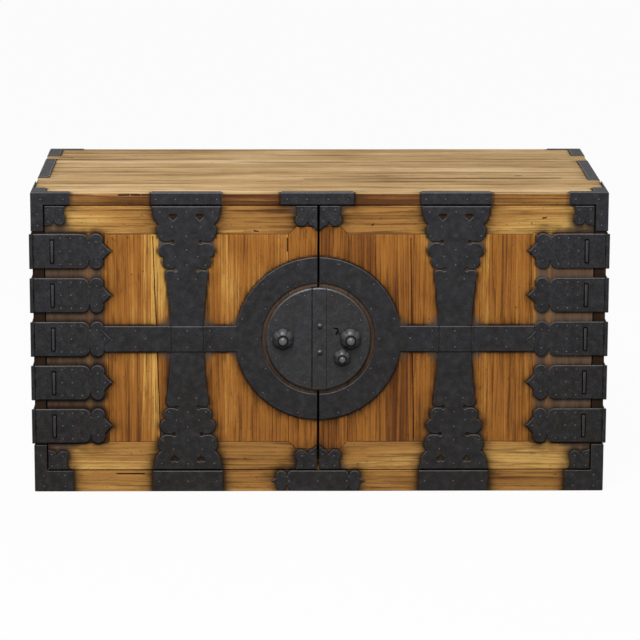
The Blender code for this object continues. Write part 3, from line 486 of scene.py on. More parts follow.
def wiped_lacquer_chestnut():
    """Upright chestnut boards under wiped lacquer: amber early wood, brown rings and a satin skin."""
    return grained_wood(
        "wiped_lacquer_chestnut", "panel", UPRIGHT_GRAIN,
        ring=5 * MM, line=3 * MM, contrast=1.0, roughness=0.50,
    )


def thin_lacquer_chestnut():
    """Level chestnut rails under thin lacquer: paler and yellower, with close growth lines."""
    return grained_wood(
        "thin_lacquer_chestnut", "rail", LEVEL_GRAIN,
        ring=6 * MM, line=3 * MM, contrast=0.88, roughness=0.52,
    )


def faded_lacquer_cedar():
    """Cedar top under worn lacquer: pale tan with close straight lines and a dull skin."""
    return grained_wood(
        "faded_lacquer_cedar", "top", LEVEL_GRAIN,
        ring=9 * MM, line=8 * MM, contrast=1.0, roughness=0.82,
    )


def bare_paulownia():
    """Planed paulownia inside and at the back: pale, dry and matt."""
    return grained_wood(
        "bare_paulownia", "inside", LEVEL_GRAIN,
        ring=9 * MM, line=5 * MM, contrast=0.6, roughness=0.72,
    )


def hammered_iron(name, roughness, specular):
    """Wrought iron under a skin of burnt oil: hammer marks and pits, browner below, bright where rubbed and
    where a highlight is painted, black where shade is painted.
    """
    if name in bpy.data.materials:
        return bpy.data.materials[name]
    look = iron()
    material, tree, shader = new_material(name)
    place = add(tree, "ShaderNodeTexCoord").outputs["Object"]
    rub_and_painted_light = add(tree, "ShaderNodeAttribute", attribute_name="rub_and_painted_light").outputs["Fac"]
    layers = {}
    for layer, size, detail in (
        ("dents", 9 * MM, 2.0),
        ("scale", 2.2 * MM, 3.0),
        ("bloom", 11 * MM, 7.0),
        ("patch", 30 * MM, 5.0),
    ):
        sockets = {"Vector": place, "Scale": 1 / size, "Detail": detail}
        layers[layer] = add(tree, "ShaderNodeTexNoise", sockets).outputs["Fac"]

    # Browner mottling, with more of it towards the bottom
    height = add(tree, "ShaderNodeSeparateXYZ", {"Vector": place}).outputs["Z"]
    sockets = {0: height, 1: -0.45 / TOP, 2: layers["patch"]}
    mottling = add(tree, "ShaderNodeMath", sockets, operation="MULTIPLY_ADD").outputs["Value"]
    grip = {"Value": layers["scale"], "From Min": 0.25, "From Max": 0.65, "To Min": 0.45, "To Max": 1.0}
    grip = add(tree, "ShaderNodeMapRange", grip).outputs["Result"]
    # Rub carries wear and painted light: above nought rubbed bright with painted highlights, below nought
    # painted shade
    worn_and_lit = add(tree, "ShaderNodeMath", {0: grip, 1: rub_and_painted_light}, operation="MULTIPLY").outputs["Value"]
    colour = washed(tree, rgba(look.blackened), (
        (mottling, 0.05, 0.55, 1.0, look.mottled),
        (layers["bloom"], 0.50, 0.72, 0.22, look.speck),
        (layers["bloom"], 0.48, 0.28, 0.55, look.pits_and_shade),
        (layers["scale"], 0.52, 0.32, 0.55, look.pits_and_shade),
        (layers["scale"], 0.58, 0.78, 0.45, look.speck),
        (worn_and_lit, 0.0, 1.0, 1.0, look.rubbed_and_highlight),
        (worn_and_lit, 0.0, -1.0, 1.0, look.pits_and_shade),
    ), "LINEAR")

    satin = {"Value": layers["scale"], "From Min": 0.3, "From Max": 0.7}
    satin.update({"To Min": roughness - 0.08, "To Max": roughness + 0.10})
    satin = add(tree, "ShaderNodeMapRange", satin).outputs["Result"]
    polish = {0: worn_and_lit, 1: -RUB_POLISH, 2: satin}
    marks = {0: layers["dents"], 1: 3.0, 2: layers["scale"]}
    marks = add(tree, "ShaderNodeMath", marks, operation="MULTIPLY_ADD").outputs["Value"]
    relief = {"Height": marks, "Strength": 0.5, "Distance": 0.2 * MM}
    # Painted light reaches the sheen too: faces painted lighter are glossier, and faces in painted shade are
    # duller
    clean_and_lit = {"Value": rub_and_painted_light, "From Min": -1.0, "From Max": 1.0, "To Min": 0.0, "To Max": 2.0 * specular}
    # The burnt oil hides nearly all of the bare metal.
    shader.inputs["Metallic"].default_value = 0.08
    link_all(tree, shader, {
        "Base Color": colour,
        "Roughness": add(tree, "ShaderNodeMath", polish, operation="MULTIPLY_ADD").outputs["Value"],
        "Normal": add(tree, "ShaderNodeBump", relief).outputs["Normal"],
        "Specular IOR Level": add(tree, "ShaderNodeMapRange", clean_and_lit).outputs["Result"],
    })
    return material


def oil_blackened_iron():
    """Hammered plate, blackened in hot oil: nearly black and dull, grey only where it is rubbed."""
    return hammered_iron("oil_blackened_iron", roughness=0.60, specular=0.16)


def rubbed_lock_iron():
    """Forged lock, knobs and nails, blackened and then rubbed by hands: a softer, brighter skin."""
    return hammered_iron("rubbed_lock_iron", roughness=0.48, specular=0.30)


# Shapes


def cad_shape(node, heights=()):
    """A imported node's shape, with its loose triangles merged into whole flat faces.

    Faces are kept apart at some heights, so that none goes round a hole or a rib.
    """
    shape = bmesh.new()
    shape.from_mesh(frame["nodes"][node].data)
    bmesh.ops.remove_doubles(shape, verts=shape.verts, dist=MERGE)
    for height in heights:
        for item in cut_across(shape, ALONG_Z * height, ALONG_Z):
            if isinstance(item, bmesh.types.BMEdge):
                item.seam = True
    bmesh.ops.dissolve_limit(
        shape, angle_limit=FLAT_ANGLE, verts=shape.verts, edges=shape.edges, delimit={"SEAM"}
    )
    return shape


def lies_on_wood(face):
    """Whether a plate's face is turned to the case or door that it is nailed to."""
    centre = face.calc_center_median()
    on_front = centre.y < FRONT and face.normal.y > SQUARE_ON
    beyond_side = abs(centre.x) > CASE_HIGH.x and centre.x * face.normal.x < 0.0
    on_side = beyond_side and abs(face.normal.x) > SQUARE_ON
    on_top = centre.z > TOP and face.normal.z < -SQUARE_ON
    return on_front or on_side or on_top


def wear_and_light_by_facing(face, wear_and_highlight, painted_shade):
    """The rub of a face: worn and painted lighter where it looks up, and painted in shade where it looks
    down.
    """
    return face.normal.z * (wear_and_highlight if face.normal.z > 0.0 else painted_shade)


def ease_edges(shape, width, chosen):
    """Round the sharp edges that show and are chosen, and rub them by the way they face, with a painted
    highlight above and painted shade below.
    """
    rub_and_painted_light = shape.faces.layers.float.get("rub_and_painted_light") or shape.faces.layers.float.new("rub_and_painted_light")
    shape.normal_update()
    hidden = {face for face in shape.faces if lies_on_wood(face)}
    seated = {vertex for face in hidden for vertex in face.verts}
    sharp = []
    for edge in shape.edges:
        shows = len(edge.link_faces) == 2 and not seated.intersection(edge.verts)
        if shows and edge.calc_face_angle() > SHARP_ANGLE and chosen(edge):
            sharp.append(edge)
    made = bmesh.ops.bevel(
        shape, geom=sharp, offset=width, offset_type="OFFSET", segments=2, profile=0.5,
        affect="EDGES", clamp_overlap=False,
    )
    shape.normal_update()
    for face in made["faces"]:
        face[rub_and_painted_light] = wear_and_light_by_facing(face, EDGE_WEAR_AND_HIGHLIGHT, EDGE_SHADE)


def cut_across(shape, point, normal):
    """Cut a shape's faces by a plane, keep both sides, and give back what lies on the cut."""
    everything = shape.verts[:] + shape.edges[:] + shape.faces[:]
    made = bmesh.ops.bisect_plane(shape, geom=everything, dist=CUT_SNAP, plane_co=point, plane_no=normal)
    return made["geom_cut"]


def middle_of(edge):
    return (edge.verts[0].co + edge.verts[1].co) / 2


def on_lock_rim(edge):
    """Whether an edge lies on the round of the lock."""
    middle = middle_of(edge)
    return math.hypot(middle.x - SEAM_X, middle.z - LOCK_Z) > LOCK_R - RIM_ROOM


def lies_on_rib(point):
    """Whether a point lies on the rib that stands out from a hinge strap."""
    inset = CASE_HIGH.x - abs(point.x)
    return abs(inset - RIB_INSET) < RIB_ROOM and point.y < FRONT - RIB_PROUD


def on_rib(edge):
    """Whether an edge borders the face of a rib."""
    return all(lies_on_rib(vertex.co) for vertex in edge.verts)


def from_rivet(point):
    """How far a point of the front lies from the nearer rivet of the closing strip."""
    return math.hypot(point.x - RIVET_X, abs(point.z - LOCK_Z) - RIVET_OFFSET)


def off_the_works(edge):
    """Whether an edge lies clear of the knuckles, the rivets and the keyhole, whose edges stay crisp."""
    middle = middle_of(edge)
    by_keyhole = math.hypot(middle.x - KEYHOLE.x, middle.z - KEYHOLE.z) < KEYHOLE_ROOM
    by_rivet = from_rivet(middle) < RIVET_ROOM
    by_knuckle = CASE_HIGH.x - abs(middle.x) < KNUCKLE_ROOM and middle.y < FRONT + KNUCKLE_ROOM
    return not (by_keyhole or by_rivet or by_knuckle or lies_on_rib(middle))


def shade_hinge(shape, middle_z):
    """Painted shade beside the knuckles, round the rib and down its sides; the rib's face is rubbed and
    painted lighter.
    """
    rub_and_painted_light = shape.faces.layers.float["rub_and_painted_light"]
    for side in SIDE_WORDS:
        for way in BOTH_WAYS:
            cut_across(shape, ALONG_X * (side * (CASE_HIGH.x - RIB_INSET) + way * RIB_ROOM), ALONG_X)
    for way in BOTH_WAYS:
        cut_across(shape, ALONG_Z * (middle_z + way * RIB_HALF), ALONG_Z)
    shape.normal_update()
    for face in shape.faces:
        centre = face.calc_center_median()
        inset = CASE_HIGH.x - abs(centre.x)
        beside = abs(inset - RIB_INSET) < RIB_ROOM and abs(centre.z - middle_z) < RIB_HALF
        if lies_on_rib(centre):
            face[rub_and_painted_light] = RIB_WEAR_AND_HIGHLIGHT if face.normal.y < -SQUARE_ON else RECESS_SHADE
        elif beside or KNUCKLE_LINE < inset < KNUCKLE_ROOM + KNUCKLE_LINE:
            face[rub_and_painted_light] = RECESS_SHADE


def shade_rivets(shape):
    """Rubbed crowns with a painted highlight, and undersides in painted shade, on the two domed rivets of the
    closing strip.
    """
    rub_and_painted_light = shape.faces.layers.float["rub_and_painted_light"]
    shape.normal_update()
    for face in shape.faces:
        if from_rivet(face.calc_center_median()) < RIVET_ROOM and face.calc_area() < FLAT_AREA:
            face[rub_and_painted_light] = wear_and_light_by_facing(face, EDGE_WEAR_AND_HIGHLIGHT, EDGE_SHADE)


def shade_crossing(shape, centre):
    """Painted shade: dark lines on the cross band along both edges of the waist strap that it crosses."""
    rub_and_painted_light = shape.faces.layers.float["rub_and_painted_light"]
    places = [centre + way * WAIST_HALF for way in BOTH_WAYS]
    for place in places:
        for way in BOTH_WAYS:
            cut_across(shape, ALONG_X * (place + way * CROSSING_LINE / 2), ALONG_X)
    for face in shape.faces:
        if min(abs(face.calc_center_median().x - place) for place in places) < CROSSING_LINE / 2:
            face[rub_and_painted_light] = RECESS_SHADE / 2


def on_skin(low, high):
    """A test for the edges round a board's front, or along the edges of the box that it fills."""
    sides = [(axis, corner[axis]) for corner in (low, high) for axis in range(3)]
    front = (1, low.y)

    def test(edge):
        shared = []
        for axis, place in sides:
            if all(abs(vertex.co[axis] - place) < MERGE for vertex in edge.verts):
                shared.append((axis, place))
        return len(shared) > 1 or front in shared

    return test


def finish_mesh(name, shape):
    """A smooth-shaded mesh with hard corners kept, from a shape that is then freed."""
    mesh = bpy.data.meshes.new(name)
    shape.to_mesh(mesh)
    shape.free()
    mesh.shade_smooth()
    mesh.set_sharp_from_angle(angle=SHARP_ANGLE)
    for face in mesh.polygons:
        face.use_smooth = face.area < FLAT_AREA
    return mesh


def add_piece(name, mesh, material, body, slot, *nodes):
    """Put a finished mesh in the scene, on its body, in place of the nodes it stands for."""
    piece = bpy.data.objects.new(name, mesh)
    bpy.context.scene.collection.objects.link(piece)
    mesh.materials.clear()
    mesh.materials.append(material)
    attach(piece, body)
    if nodes:
        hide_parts(*nodes)
    return piece


def dress(node, mesh, material, slot):
    """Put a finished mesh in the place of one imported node."""
    return add_piece(node + "_finish", mesh, material, body_of(node), slot, node)


def keep_values(mesh, name, values, domain="POINT"):
    """Keep a number for each point or face of a mesh, for its material to read."""
    mesh.attributes.new(name, "FLOAT", domain).data.foreach_set("value", values)


def body_of(node):
    """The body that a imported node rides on."""
    for body, members in frame["record"]["behaviour"]["bodies"].items():
        if node in members:
            return body
    raise ValueError(f"no body holds {node}")


def nodes_with_slot(*slots):
    return [part["node"] for part in frame["record"]["subparts"] if part["material_slot"] in slots]


def tree_of(meshes):
    """A search tree over several meshes."""
    points = []
    faces = []
    for mesh in meshes:
        start = len(points)
        points += [vertex.co.copy() for vertex in mesh.vertices]
        faces += [[start + index for index in face.vertices] for face in mesh.polygons]
    return BVHTree.FromPolygons(points, faces)


def iron_meshes():
    """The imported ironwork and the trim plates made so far."""
    packed = [frame["nodes"][node].data for node in nodes_with_slot("plate_iron", "lock_iron")]
    trim = [piece.data for piece in bpy.context.scene.objects if piece.get("tansu_trim")]
    return packed + trim


def arc(centre, radius, start, end, steps=6):
    """Points on an arc, from one angle to another in degrees."""
    points = []
    for step in range(steps + 1):
        angle = math.radians(start + (end - start) * step / steps)
        points.append((centre[0] + radius * math.cos(angle), centre[1] + radius * math.sin(angle)))
    return points


# Boards


def slice_along(shape, axis, spacing):
    """Cut a shape by evenly spaced planes across an axis."""
    places = [vertex.co[axis] for vertex in shape.verts]
    low, high = min(places), max(places)
    count = max(1, round((high - low) / spacing))
    for index in range(1, count):
        cut_across(shape, AXES[axis] * (low + (high - low) * index / count), AXES[axis])


def open_joint(shape, start, end, outward, gap):
    """Press a narrow, dirty groove into the outward face along the line between two points."""
    look = wood()
    grime = shape.verts.layers.float.get("grime") or shape.verts.layers.float.new("grime")
    length = (end - start).length
    direction = (end - start) / length
    across = direction.cross(outward).normalized()
    cuts = [(start + across * gap * share, across) for share in (-1.0, -0.5, 0.0, 0.5, 1.0)]
    cuts += [(start, direction), (end, direction)]
    for point, normal in cuts:
        cut_across(shape, point, normal)
    for vertex in shape.verts:
        offset = vertex.co - start
        beside = abs(offset.dot(across))
        on_line = beside < 0.5 * gap + MERGE and -MERGE < offset.dot(direction) < length + MERGE
        if on_line and abs(offset.dot(outward)) < 2 * look.unevenness:
            vertex[grime] = 1.0
            if beside < MERGE:
                vertex.co -= outward * look.joint_depth
    return across


def plane_unevenly(shape, depth):
    """Move the surface by slow waves, as a hand plane and age leave it."""
    for vertex in shape.verts:
        wave = noise.noise(vertex.co * SLOW_WAVES)
        wave += QUICK_SHARE * noise.noise(vertex.co * QUICK_WAVES + QUICK_OFFSET * ALONG_Z)
        vertex.co -= vertex.normal * depth * (0.5 + 0.5 * wave)


def closed_in(tree, point):
    """How far iron closes in on a point of the front, and whether it does so all round, as in a hole."""
    if point.y > FRONT + FACE_ROOM:
        return 0.0, False
    start = Vector((point.x, FRONT - PLATE_MIDDLE, point.z))
    closeness = []
    for line in GAP_LINES:
        hits = [tree.ray_cast(start, line * way, WIDE_GAP)[3] for way in BOTH_WAYS]
        width = sum(WIDE_GAP if hit is None else hit for hit in hits)
        closeness.append(min(1.0, max(0.0, (WIDE_GAP - width) / (WIDE_GAP - NARROW_GAP))))
    return max(closeness), min(closeness) > HOLE_CLOSED


def darken_by_iron(mesh, tree, strength):
    """Keep on each point how dark smoke, iron and the dirt of a joint have made it, with painted shade in
    holes and gaps and a painted shadow along the iron, and how dusty it is.
    """
    look = wood()
    level = [0.0] * len(mesh.vertices)
    dust = [0.0] * len(mesh.vertices)
    grime = mesh.attributes.get("grime")
    if grime:
        grime.data.foreach_get("value", level)
    for vertex in mesh.vertices:
        gap = tree.find_nearest(vertex.co, SMOKE_REACHES * look.soot_reach)[3]
        if gap is None:
            continue
        # Smoke and polish have gathered towards the foot of the chest.
        depth = SMOKE_AT_HEAD + (SMOKE_AT_FOOT - SMOKE_AT_HEAD) * (1 - vertex.co.z / TOP)
        shade = strength * depth * math.exp(-gap / look.soot_reach)
        # A black edge of soot and painted shadow along the iron
        edge = max(0.0, 1.0 - max(0.0, gap - look.soot_and_shadow_edge / 2) / look.soot_and_shadow_edge)
        dark = max(shade, EDGE_SOOT_AND_SHADOW * edge)
        # Painted shade where iron closes in: full in a hole, and in part, with soot and dust, in a narrow gap
        if gap < WIDE_GAP / 2:
            closeness, in_hole = closed_in(tree, vertex.co)
            closed = HOLE_SHADE if in_hole else max(GAP_SOOT_AND_SHADE, shade)
            dark += (closed - dark) * closeness
            dust[vertex.index] = 0.0 if in_hole else GAP_DUST * closeness
        level[vertex.index] = min(1.0, max(level[vertex.index], dark))
    keep_values(mesh, "soot_and_shade", level)
    keep_values(mesh, "dust", dust)


def age_board(mesh, ageing):
    """Keep on each point how dark its lacquer has grown, from the chest's sides to its seam and its foot."""
    level = []
    for vertex in mesh.vertices:
        inward = 1 - abs(vertex.co.x) / CASE_HIGH.x
        dark = ageing.side + (ageing.seam - ageing.side) * inward + ageing.foot * (1 - vertex.co.z / TOP)
        for x, z, radius, most in ageing.smudges:
            away = math.hypot(vertex.co.x - x * MM, vertex.co.z - z * MM) / (radius * MM)
            dark += most * math.exp(-away * away)
        level.append(dark)
    keep_values(mesh, "age", level)


def number_boards(mesh, number, split=None):
    """Give each board its own draw of the grain; a split is a point and a direction between two boards."""
    values = []
    for face in mesh.polygons:
        beyond = split is not None and (face.center - split[0]).dot(split[1]) > 0
        values.append(GRAIN_STEP * number + (SPLIT_STEP if beyond else 0.0))
    keep_values(mesh, "board", values, "FACE")


class Ageing(NamedTuple):
    """How a board has aged.

    Its lacquer's darkness at the chest's side and seam and what the foot adds, the smoke beside the iron,
    open joints and scars, and smudges from hands as X, Z, radius in millimetres and darkness.
    """

    side: float = 0.0
    seam: float = 0.0
    foot: float = 0.0
    smoke: float = 1.0
    scars: tuple = ()
    smudges: tuple = ()


def make_board(node, number, material, slot, tree, ageing=Ageing(), spread=2):
    """A board in place of a packed one: eased edges, a slightly uneven face, scars, age, and soot with
    painted shade.

    Spread multiplies the spacing of its surface points.
    """
    look = wood()
    shape = cad_shape(node, [LOCK_Z, LATCH_Z] if node.endswith("meeting_stile") else [])
    low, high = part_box(node)
    ease_edges(shape, look.arris, on_skin(low, high))
    thin = min(range(3), key=lambda axis: high[axis] - low[axis])
    for axis in range(3):
        if axis != thin:
            slice_along(shape, axis, spread * look.facet)
    plane_unevenly(shape, look.unevenness)
    split = None
    for scar in ageing.scars:
        across = open_joint(shape, *scar)
        split = split or (scar[0], across)
    mesh = finish_mesh(node + "_board", shape)
    darken_by_iron(mesh, tree, ageing.smoke)
    age_board(mesh, ageing)
    number_boards(mesh, number, split if node.endswith("panel") else None)
    return dress(node, mesh, material, slot)


def on_front(start_x, start_z, end_x, end_z, gap=1.6):
    """A scar on the front, from X and Z to X and Z, and its width, all in millimetres."""
    ends = [Vector((x * MM, FRONT, z * MM)) for x, z in ((start_x, start_z), (end_x, end_z))]
    return (*ends, -ALONG_Y, gap * MM)


def on_top(start_x, start_depth, end_x, end_depth, gap=2.6):
    """A scar on the top, from X and depth behind the front to the same, and its width, all in millimetres."""
    places = ((start_x, start_depth), (end_x, end_depth))
    ends = [Vector((x * MM, FRONT + depth * MM, TOP)) for x, depth in places]
    return (*ends, ALONG_Z, gap * MM)


class TANSU_OT_door_boards(bpy.types.Operator):
    """Rails, stiles and panels of both doors"""

    bl_idname = "tansu.door_boards"
    bl_label = "Door boards"

    def execute(self, context):
        tree = tree_of(iron_meshes())
        ageing = {
            "left_hinge_stile": Ageing(smoke=1.7),
            "left_meeting_stile": Ageing(seam=0.16, foot=0.06),
            "left_top_rail": Ageing(
                side=-0.24, seam=0.55, smoke=2.3, scars=(on_front(-104, 425.5, -97, 425.0),),
            ),
            "left_bottom_rail": Ageing(side=-0.22, seam=0.22, smoke=1.4),
            "left_panel": Ageing(
                side=-0.30, seam=-0.12, foot=0.36, smoke=1.25,
                scars=(on_front(-264, 417, -254, 85, gap=1.0), on_front(-51.2, 414, -51.2, 393)),
                smudges=((-85, 392, 42, 0.30), (-130, 410, 25, 0.20)),
            ),
            "right_hinge_stile": Ageing(foot=0.06),
            "right_meeting_stile": Ageing(seam=0.36),
            "right_top_rail": Ageing(
                side=-0.36, seam=0.40, smoke=2.3,
                scars=(on_front(353, 445.5, 358, 446.5), on_front(83, 434, 85, 436)),
            ),
            "right_bottom_rail": Ageing(side=-0.20, smoke=1.3),
            "right_panel": Ageing(
                side=-0.20, seam=0.31, foot=0.20, smoke=1.25,
                scars=(on_front(144, 414, 151, 87, gap=1.0),),
                smudges=((125, 340, 40, 0.10),),
            ),
        }
        for number, (node, history) in enumerate(ageing.items(), start=1):
            material = thin_lacquer_chestnut() if node.endswith("rail") else wiped_lacquer_chestnut()
            make_board(node, number, material, "front_wood", tree, history, spread=1)
        return {"FINISHED"}


class TANSU_OT_case_boards(bpy.types.Operator):
    """Top, bottom, sides, back and shelf"""

    bl_idname = "tansu.case_boards"
    bl_label = "Case boards"

    def execute(self, context):
        tree = tree_of(iron_meshes())
        # A long crack and some nicks in the top, and a row of splinters on its front edge
        top_scars = (
            on_top(-23, 141, 393, 150, gap=4.2),
            on_top(-434, 366, -411, 361),
            on_top(322, 173, 331, 173),
            on_top(436, 322, 443, 316),
            on_front(-316, 483.0, -301, 483.4, gap=2.2),
            on_front(-297, 483.4, -284, 482.9, gap=2.6),
            on_front(-281, 483.1, -267, 483.5, gap=2.2),
        )
        first = 21
        history = Ageing(smoke=1.3, scars=top_scars)
        top = make_board("top_board", first, faded_lacquer_cedar(), "case_wood", tree, history, spread=1.4)
        self.keep_lacquer_on_edges(top.data)
        foot = Ageing(side=0.12, seam=0.08, smoke=1.3, scars=(on_front(-323, 29.8, -280, 29.7),))
        side = Ageing(side=0.10, smoke=3.4)
        others = (
            ("bottom_board", thin_lacquer_chestnut(), "front_wood", foot),
            ("left_side_board", wiped_lacquer_chestnut(), "front_wood", side),
            ("right_side_board", wiped_lacquer_chestnut(), "front_wood", side),
            ("back_board", bare_paulownia(), "inside_wood", Ageing()),
            ("shelf", bare_paulownia(), "inside_wood", Ageing()),
        )
        for number, (node, material, slot, history) in enumerate(others, start=first + 1):
            make_board(node, number, material, slot, tree, history)
        return {"FINISHED"}

    def keep_lacquer_on_edges(self, mesh):
        """Only the top face has faded; the board's edges keep their old lacquer, darkest in the middle."""
        mesh.materials.append(thin_lacquer_chestnut())
        for face in mesh.polygons:
            face.material_index = int(face.normal.z < FACES_UP)
        age = mesh.attributes["age"].data
        for vertex in mesh.vertices:
            if vertex.co.z < TOP - wood().arris:
                inward = 1 - abs(vertex.co.x) / CASE_HIGH.x
                age[vertex.index].value = OLD_LACQUER_SIDE + (OLD_LACQUER_SEAM - OLD_LACQUER_SIDE) * inward


# Ironwork


class TANSU_OT_ironwork(bpy.types.Operator):
    """Hinges, straps, bands, plates and the latch, with worn edges, painted highlights above and painted
    shade below
    """

    bl_idname = "tansu.ironwork"
    bl_label = "Ironwork"

    def execute(self, context):
        look = iron()
        for slot, material, edge in (
            ("plate_iron", oil_blackened_iron(), look.plate_edge),
            ("lock_iron", rubbed_lock_iron(), look.lock_edge),
        ):
            for node in nodes_with_slot(slot):
                if node.endswith("knob"):
                    continue
                shape = cad_shape(node, self.hole_heights(node))
                if node.endswith(("lock_plate", "closing_strip")):
                    ease_edges(shape, look.lock_rim, on_lock_rim)
                if "hinge_strap" in node:
                    ease_edges(shape, look.rib_edge, on_rib)
                ease_edges(shape, look.fold_edge if "corner_iron" in node else edge, off_the_works)
                if node == "closing_strip":
                    shade_rivets(shape)
                if "hinge_strap" in node:
                    shade_hinge(shape, self.hole_heights(node)[0])
                if "ring_iron" in node:
                    shade_crossing(shape, centre_of(node.replace("ring_iron", "waist_strap")).x)
                dress(node, finish_mesh(node, shape), material, slot)
        return {"FINISHED"}

    def hole_heights(self, node):
        """Heights of the rib, the hearts, the rivets or the holes in a plate."""
        low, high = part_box(node)
        if "waist_strap" in node:
            return [high.z - HEART_DROP, low.z + HEART_DROP]
        if "lock_plate" in node:
            return [LOCK_Z, KEYHOLE.z, LATCH_Z]
        if node == "closing_strip":
            return [LOCK_Z - RIVET_OFFSET, LOCK_Z + RIVET_OFFSET]
        if "hinge_strap" in node:
            return [centre_of(node).z]
        return []


def crease_at(angle, petals):
    """How near an angle is to the crease between two petals, from nought to one."""
    roundness = 0.7
    return 1 - abs(math.cos(petals * angle / 2)) ** roundness


def petal_knob(radius, proud, spindle_l):
    """A forged knob about its axis: six petals on a dome, a neck and a faceted button, with its spindle."""
    petals = 6
    steps = 72
    petal_depth = 0.09
    crease_power = 5
    foot, neck, button = 0.04 * proud, 0.57 * proud, 0.68 * proud
    # Reach from the axis and height, as shares of the knob's own, and how fully the petals are cut there
    dome = (
        (0.95, 0.0, 0.8), (1.00, 0.04, 1.0), (1.00, 0.11, 1.0), (0.96, 0.22, 1.0), (0.89, 0.33, 0.9),
        (0.78, 0.43, 0.8), (0.65, 0.52, 0.5), (0.52, 0.58, 0.2), (0.40, 0.61, 0.0), (0.32, 0.63, 0.0),
        (0.30, 0.66, 0.0), (0.35, 0.70, 0.0), (0.37, 0.80, 0.0), (0.30, 0.90, 0.0), (0.17, 0.98, 0.0),
        (0.0, 1.0, 0.0),
    )
    profile = [(0.0, -spindle_l, 0.0), (SPINDLE_R, -spindle_l, 0.0), (SPINDLE_R, 0.0, 0.0)]
    profile += [(reach * radius, height * proud, lobed) for reach, height, lobed in dome]
    shape = bmesh.new()
    rings = []
    for reach, height, lobed in profile:
        ring = []
        for step in range(steps if reach else 1):
            angle = 2 * math.pi * step / steps
            out = reach * (1 - petal_depth * lobed * crease_at(angle, petals))
            ring.append(shape.verts.new((out * math.sin(angle), -height, out * math.cos(angle))))
        rings.append(ring)
    for lower, upper in zip(rings, rings[1:]):
        for step in range(steps):
            after = (step + 1) % steps
            corners = [lower[step % len(lower)], lower[after % len(lower)],
                       upper[after % len(upper)], upper[step % len(upper)]]
            shape.faces.new(list(dict.fromkeys(corners)))
    bmesh.ops.recalc_face_normals(shape, faces=shape.faces)
    rub_and_painted_light = shape.faces.layers.float.new("rub_and_painted_light")
    shape.normal_update()
    # Painted light on the knob: the dome is worn and painted lighter where it looks up and painted in shade
    # where it looks down; the creases between petals, the neck and the foot are painted in shade
    for face in shape.faces:
        centre = face.calc_center_median()
        if -centre.y > button:
            face[rub_and_painted_light] = BUTTON_WEAR
        elif -centre.y > neck or -centre.y < foot:
            face[rub_and_painted_light] = -CREASE_SHADE
        else:
            crease = crease_at(math.atan2(centre.x, centre.z), petals)
            face[rub_and_painted_light] = wear_and_light_by_facing(face, DOME_WEAR_AND_HIGHLIGHT, DOME_SHADE) - CREASE_SHADE * crease ** crease_power
    return shape


class TANSU_OT_knobs(bpy.types.Operator):
    """The two door pulls and the latch knob"""

    bl_idname = "tansu.knobs"
    bl_label = "Knobs"

    def execute(self, context):
        seat = LOCK_FACE - KNOB_SEAT
        for node in ("left_pull_knob", "right_pull_knob", "latch_knob"):
            low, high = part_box(node)
            centre = centre_of(node)
            shape = petal_knob((high.z - low.z) / 2, seat - low.y, high.y - seat)
            bmesh.ops.translate(shape, verts=shape.verts, vec=Vector((centre.x, seat, centre.z)))
            dress(node, finish_mesh(node, shape), rubbed_lock_iron(), "lock_iron")
        return {"FINISHED"}


def sheet(name, points, outward, thickness):
    """A thin plate from its outline in space, standing out from what carries it, with worn edges, painted
    lighter above and in shade below.
    """
    shape = bmesh.new()
    face = shape.faces.new([shape.verts.new(point) for point in points])
    face.normal_update()
    if face.normal.dot(outward) < 0:
        face.normal_flip()
    grown = bmesh.ops.extrude_face_region(shape, geom=[face])
    moved = [item for item in grown["geom"] if isinstance(item, bmesh.types.BMVert)]
    bmesh.ops.translate(shape, verts=moved, vec=outward * thickness)
    bmesh.ops.recalc_face_normals(shape, faces=shape.faces)
    ease_edges(shape, iron().plate_edge * TRIM_EDGE, off_the_works)
    return finish_mesh(name, shape)


def lobed_corner(reach, tail):
    """A door's corner plate, in and down from the corner: a notch, a lobe, and a tail along the edge."""
    outline = [(0.0, 0.0), (reach, 0.0), (0.95 * reach, 0.34 * reach)]
    outline += arc((0.76 * reach, 0.68 * reach), 0.29 * reach, -48, 128, 9)
    outline += [(0.43 * reach, 0.74 * reach)]
    outline += arc((0.22 * reach, 0.76 * reach), 0.20 * reach, 20, 85, 4)
    outline += [(0.0, tail)]
    return outline


def scalloped_strip(width, length, rounds):
    """A strip, across and along a board's edge, with shallow rounds on its inner side."""
    outline = [(0.0, 0.0), (width, 0.0)]
    step = length / rounds
    depth = 0.06 * width
    for index in range(rounds):
        for angle in (20, 60, 90, 120, 160):
            across = width - depth + depth * math.sin(math.radians(angle))
            outline.append((across, (index + angle / 180) * step))
    return outline + [(width, length), (0.0, length)]


